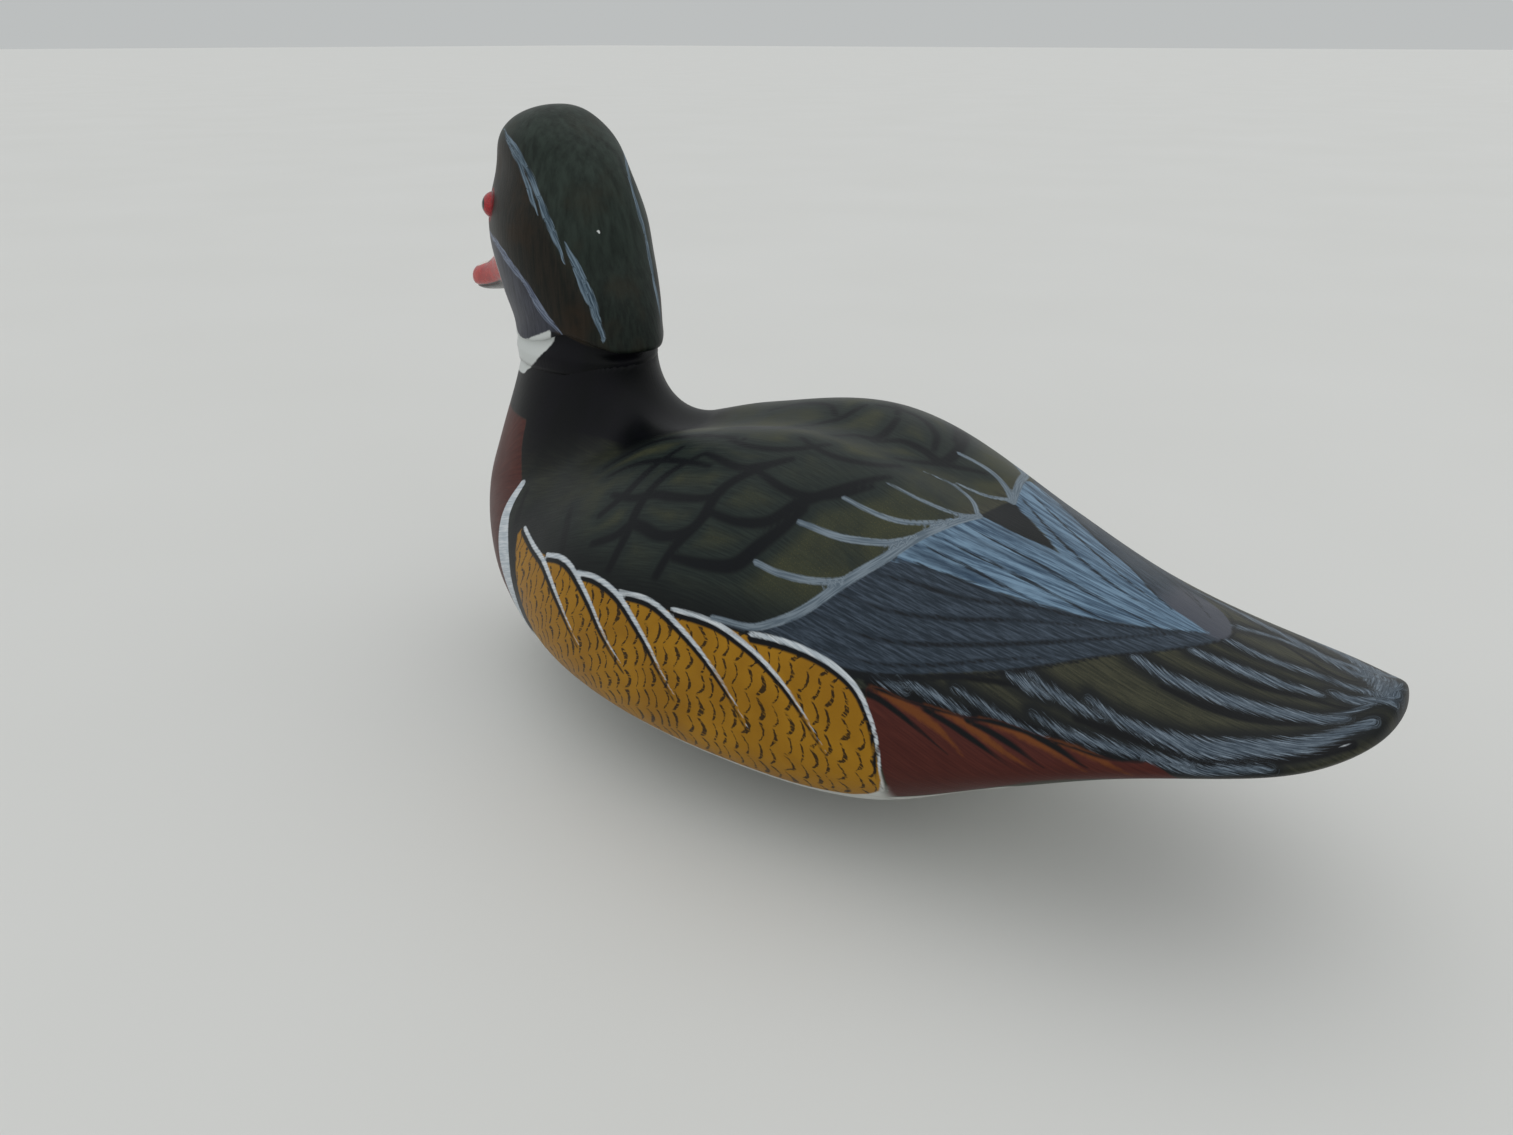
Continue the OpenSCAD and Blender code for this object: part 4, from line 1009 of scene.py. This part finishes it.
def head_coat():
    """Green crown, brown cheeks, grey cheek panels, white throat and the pale head lines."""
    coat = Coat("head_paint", specular=PAINT_SHINE)
    place, _, _, h = coat.attribute("place")
    _, crown_in, throat_in, panel_in = coat.attribute("zones")
    _, eye_far, under_ledge, chip_far = coat.attribute("eye")
    hair = coat.noise(place, (0.7, 0.7, 0.06), detail=3, rough=0.65)
    cloud = coat.noise(place, 0.06, detail=3)
    fine = coat.noise(place, 1.6, detail=2)
    wander = coat.noise(place, 0.6, detail=2)
    streaks = coat.noise(place, (0.32, 0.32, 0.02), detail=3, rough=0.6)
    coat.base = coat.blend(hair, 0.32, 0.7, (12, 18, 15), (26, 34, 29))
    # Lighter brush streaks that grow stronger towards the top: the streaks are paint, and their rise up
    # the head is painted sheen from light above.
    coat.lay((46, 56, 50), coat.step(h, 4, 55), coat.step(streaks, 0.15, 0.8))
    coat.lay((42, 38, 28), coat.step(cloud, 0.5, 0.7), 0.45)
    crown_paint_with_sheen = coat.base
    coat.base = coat.blend(hair, 0.3, 0.7, (20, 22, 18), (36, 32, 26))
    coat.lay((50, 36, 22), coat.step(cloud, 0.45, 0.65), 0.45)
    coat.lay(crown_paint_with_sheen, coat.step(crown_in, -3, 3))
    panel = coat.blend(hair, 0.3, 0.7, (44, 46, 54), (64, 66, 76))
    coat.lay(panel, coat.frayed(panel_in, wander, 1.6, -0.8, 0.8))
    for name, dark, light in (("crest", (48, 64, 76), (108, 126, 140)),
                              ("cheek", (70, 78, 98), (122, 132, 150))):
        _, inside, run, off = coat.attribute(name)
        strand = coat.noise(coat.joined(run, off), (0.09, 1.6, 1), detail=2, rough=0.6)
        coat.lay(coat.blend(strand, 0.35, 0.65, dark, light),
                 coat.frayed(inside, strand, 1.5, -0.3, 0.35))
    # The neck under the ledge: black paint deepened as painted shade.
    coat.lay(coat.blend(cloud, 0.4, 0.6, *NECK_BLACK_AND_SHADE), coat.step(under_ledge, -0.6, 0.2))
    white = coat.mix(coat.product(coat.step(hair, 0.3, 0.7), coat.step(h, 2, 12), 0.5),
                     THROAT_WHITE, OFF_WHITE)
    coat.lay(white, coat.frayed(throat_in, wander, 0.8, -0.35, 0.35))
    coat.lay((112, 18, 24), coat.frayed(eye_far, wander, 0.6, 6.5, 5.9))
    coat.lay(OFF_WHITE, coat.frayed(chip_far, wander, 1.2, 0.6, 0.35))
    height = coat.math("ADD", coat.product(hair, 0.6), coat.product(fine, 0.3))
    return coat.finish(coat.step(cloud, 0.2, 0.8, 0.36, 0.48), height, PAINT_BUMP)


NOSTRIL = (76.0, 52.0)        # part of the way to the tip, in percent, and degrees from the top
NOSTRIL_SPAN = (0.5, 0.16)


def bill_coat():
    """Red sides, a white upper patch, a black ridge and lower mandible, and dark nostrils."""
    coat = Coat("bill_paint")
    _, k, angle, _ = coat.attribute("place")
    grain = coat.noise(coat.place(), 0.3, detail=3)
    wander = coat.ragged(angle, grain, 8.0)
    coat.base = coat.blend(grain, 0.2, 0.8, (150, 34, 34), (182, 56, 52))
    coat.lay((222, 216, 206), coat.step(wander, 48, 42), coat.step(k, 60, 66), coat.step(k, 97, 93))
    coat.lay(NEAR_BLACK, coat.step(wander, 20, 14), coat.step(k, 93, 88))
    coat.lay((14, 14, 15), coat.step(wander, BILL_MOUTH, BILL_MOUTH + 6))
    off_mouth = coat.math("ABSOLUTE", coat.math("SUBTRACT", angle, BILL_MOUTH))
    coat.lay((20, 14, 14), coat.step(off_mouth, 5, 2), coat.step(k, 60, 66))
    ahead, aside = (
        coat.math("POWER", coat.product(coat.math("SUBTRACT", value, middle), span), 2.0)
        for value, middle, span in zip((k, angle), NOSTRIL, NOSTRIL_SPAN))
    coat.lay(NEAR_BLACK, coat.step(coat.math("SQRT", coat.math("ADD", ahead, aside)), 1.2, 0.8))
    return coat.finish(coat.step(grain, 0.3, 0.7, 0.22, 0.32), grain, 0.06)


def board_coat():
    """The painted underside: off-white over wood, with grain and rubbed patches."""
    coat = Coat("bottom_paint")
    at = coat.place()
    grain = coat.noise(at, (0.9, 0.035, 0.9), detail=4, rough=0.65)
    worn = coat.noise(at, 0.05, detail=4, rough=0.6)
    coat.base = coat.blend(grain, 0.3, 0.75, (184, 184, 178), (208, 208, 202))
    coat.lay((140, 112, 80), coat.step(worn, 0.62, 0.72), coat.step(grain, 0.5, 0.65), 0.7)
    return coat.finish(coat.step(grain, 0.3, 0.7, 0.5, 0.62), grain, 0.15)


def wood_coat(name, dark, light, rough=0.55):
    coat = Coat(name)
    at = coat.place()
    grain = coat.noise(at, (0.8, 0.04, 0.8), detail=4, rough=0.65)
    rings = coat.noise(at, (0.2, 0.012, 0.2), detail=2)
    coat.base = coat.blend(grain, 0.3, 0.7, dark, light)
    coat.lay(dark, coat.step(rings, 0.5, 0.7), 0.4)
    return coat.finish(coat.step(grain, 0.3, 0.7, rough, rough + 0.1), grain, 0.12)


def metal_coat(name, bright, dull, rough):
    """A metal with fine scratches and darker, rougher tarnish."""
    coat = Coat(name, metallic=1.0)
    at = coat.place()
    scratch = coat.noise(at, (3.0, 0.3, 3.0), detail=3, rough=0.7)
    tarnish = coat.noise(at, 0.35, detail=4, rough=0.6)
    coat.base = coat.blend(tarnish, 0.35, 0.7, bright, dull)
    return coat.finish(coat.step(tarnish, 0.3, 0.7, rough, rough + 0.2), scratch, 0.03)


def eye_coat(name, middle, outward):
    """A glass eye: a black pupil in a crimson iris, darker at the rim, under a clear dome."""
    coat = Coat(name, roughness=0.08, specular=0.2)
    coat.shader.inputs["Coat Weight"].default_value = 0.5
    coat.shader.inputs["Coat Roughness"].default_value = 0.03
    unit = coat.vector("NORMALIZE", coat.vector("SUBTRACT", coat.place(), tuple(middle)))
    facing = coat.vector("DOT_PRODUCT", unit, tuple(outward))
    fibres = coat.noise(unit, 9.0, detail=3, rough=0.7)
    coat.base = coat.blend(fibres, 0.3, 0.7, (128, 16, 26), (176, 34, 40))
    coat.lay((60, 8, 14), coat.step(facing, 0.55, 0.2))
    coat.lay((8, 7, 8), coat.step(facing, 0.868, 0.888))
    return coat.finish()


# ---- Camera, lights and floor ----

# The photo's camera, as the program that fitted the outlines to the photo had it.
CAMERA_PLACE = (0.2936, 0.2029, 0.2284)
CAMERA_HEADING = Vector((-0.788, -0.616, 0)).normalized()
CAMERA_PITCH = math.radians(25)
CAMERA_LENS = 27.03
CAMERA_SENSOR = 36
SKY = (0.97, 1.0, 1.0, 1.0)
SKY_STRENGTH = 0.52
UP = Vector((0, 0, 1))
FLOOR_HALF = 30
FLOOR_SQUARES = 40


def aim(thing, direction):
    thing.rotation_euler = direction.to_track_quat("-Z", "Y").to_euler()


def add_sun(name, power, spread, source):
    """A wide, soft light from far off, so that the floor is evenly lit up to its edge."""
    data = bpy.data.lights.new(name, "SUN")
    data.energy = power
    data.angle = math.radians(spread)
    lamp = bpy.data.objects.new(name, data)
    bpy.context.scene.collection.objects.link(lamp)
    aim(lamp, -source)


def make_stage():
    scene = bpy.context.scene
    camera_data = bpy.data.cameras.new("camera")
    camera_data.sensor_width = CAMERA_SENSOR
    camera_data.lens = CAMERA_LENS
    camera = bpy.data.objects.new("camera", camera_data)
    camera.location = CAMERA_PLACE
    scene.collection.objects.link(camera)
    aim(camera, CAMERA_HEADING * math.cos(CAMERA_PITCH) - UP * math.sin(CAMERA_PITCH))
    scene.camera = camera

    world = bpy.data.worlds.new("studio")
    world.use_nodes = True
    sky = world.node_tree.nodes["Background"]
    sky.inputs["Color"].default_value = SKY
    sky.inputs["Strength"].default_value = SKY_STRENGTH
    scene.world = world
    right = Vector((CAMERA_HEADING.y, -CAMERA_HEADING.x, 0))
    add_sun("window", 0.6, 110, UP + right * 0.5 + CAMERA_HEADING * 0.05)
    add_sun("ceiling", 0.85, 130, UP - right * 0.25 - CAMERA_HEADING * 0.35)
    scene.view_settings.view_transform = "Standard"

    work = bmesh.new()
    bmesh.ops.create_grid(work, x_segments=FLOOR_SQUARES, y_segments=FLOOR_SQUARES, size=FLOOR_HALF)
    mesh = bpy.data.meshes.new("floor")
    work.to_mesh(mesh)
    work.free()
    floor = bpy.data.objects.new("floor", mesh)
    scene.collection.objects.link(floor)
    coat = Coat("floor_card", roughness=0.6)
    coat.base = coat.mix(coat.noise(coat.place(), 0.004, detail=2), (206, 206, 203), (212, 212, 210))
    clad(floor, coat.finish())


# ---- The pieces ----

KEEL_EDGE = 0.9
EDGE_STEPS = 3
FLAT_ANGLE = math.radians(1)
SHARP_ANGLE = math.radians(50)
EYE_PLACE = (19.2, 30.5, 49.6)    # to the side, towards the bill, above the neck joint
EYE_SWING = math.radians(22)
EYE_LIFT = math.radians(8)
EYE_RADIUS = 5.0
EYE_PROUD = 2.5


def clad(piece, coat):
    piece.data.materials.clear()
    piece.data.materials.append(coat)


def make_body():
    rings, places = hull_grid()
    ends = hull_point(np.array([0.0, 1.0]), np.zeros(2))
    points, faces = closed(rings, *ends)
    flat = np.concatenate([places.reshape(-1, 3), [[y, 0, z] for _, y, z in ends]])
    coat = body_coat()
    for name, node, above, slot in (("painted_body", "body_shell", True, "painted_body"),
                                    ("painted_bottom", "bottom_board", False, "painted_bottom")):
        piece = make_mesh(name, points, faces, {"place": flat})
        cut_at_seam(piece, above)
        paint_body(piece)
        clad(piece, coat)
        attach(piece, "decoy")
        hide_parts(node)


def make_head():
    rings, apex = head_grid()
    place, faces = closed(rings, [0, 0, -SKIRT], apex)
    head = make_mesh("painted_head", from_head(place), faces, {"place": place}, flip=True)
    paint_head(head)
    clad(head, head_coat())
    rings, bill_places = bill_grid()
    root = [0.0, rings[0][0][1], BILL_ROOT_HEIGHT]
    tip = [0.0, BILL_REACH, BILL_TIP_HEIGHT]
    points, faces = closed(rings, root, tip)
    poles = [[100 * BILL[0][0], 90, 1], [100, 90, 1]]
    marks = np.concatenate([bill_places.reshape(-1, 3), poles])
    bill = make_mesh("painted_bill", from_head(points), faces, {"place": marks}, flip=True)
    clad(bill, bill_coat())
    for piece in (head, bill):
        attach(piece, "decoy")
    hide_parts("head")
    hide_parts("head")


def soften(node, name, width, coat):
    """A copy of a CAD piece with its sharp edges eased, as hand sanding leaves them."""
    work = bmesh.new()
    work.from_mesh(NODES[node].data)
    bmesh.ops.remove_doubles(work, verts=work.verts[:], dist=1e-6)
    bmesh.ops.dissolve_limit(work, angle_limit=FLAT_ANGLE, verts=work.verts[:], edges=work.edges[:])
    mesh = bpy.data.meshes.new(name)
    work.to_mesh(mesh)
    work.free()
    piece = bpy.data.objects.new(name, mesh)
    bpy.context.scene.collection.objects.link(piece)
    bevel = piece.modifiers.new("eased", "BEVEL")
    bevel.width = width
    bevel.segments = EDGE_STEPS
    bevel.limit_method = "ANGLE"
    bevel.angle_limit = SHARP_ANGLE
    clad(piece, coat)
    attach(piece, "decoy")
    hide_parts(node)
    return piece


def dress_frame():
    brass = metal_coat("brass", (196, 162, 92), (112, 88, 50), 0.28)
    steel = metal_coat("steel", (190, 192, 194), (128, 130, 132), 0.3)
    lead = metal_coat("lead", (120, 122, 126), (74, 76, 80), 0.55)
    raw = wood_coat("bare_wood", (150, 112, 70), (196, 158, 108))
    putty = wood_coat("putty", (118, 88, 60), (142, 108, 76), 0.7)
    bottom = board_coat()
    for node, coat in (("board_screws", brass), ("keel_screws", brass), ("keel_washers", brass),
                       ("ballast_screws", brass), ("line_eye", brass), ("line_ring", brass),
                       ("head_screw", steel), ("head_washer", steel), ("keel_ballast", lead),
                       ("neck_dowel", raw), ("left_eye_putty", putty), ("right_eye_putty", putty),
                       ("board_plugs", bottom)):
        clad(NODES[node], coat)
    keel = soften("keel", "painted_keel", KEEL_EDGE * MM, board_coat())
    for side, node in ((1, "left_eye"), (-1, "right_eye")):
        clad(NODES[node], eye_coat(node + "_glass", *eye_axis(side)))


def eye_axis(side):
    """The middle of an eye's ball and the way it faces, from the CAD's own angles."""
    c, s = math.cos(EYE_SWING), math.sin(EYE_SWING)
    flat = math.cos(EYE_LIFT)
    facing = np.array([side * flat * c, flat * s, math.sin(EYE_LIFT)])
    ball = np.array(EYE_PLACE) * [side, 1, 1] + facing * (EYE_PROUD - EYE_RADIUS)
    centre = from_head(ball)
    return centre, from_head(ball + facing) - centre


make_stage()
make_body()
make_head()
dress_frame()
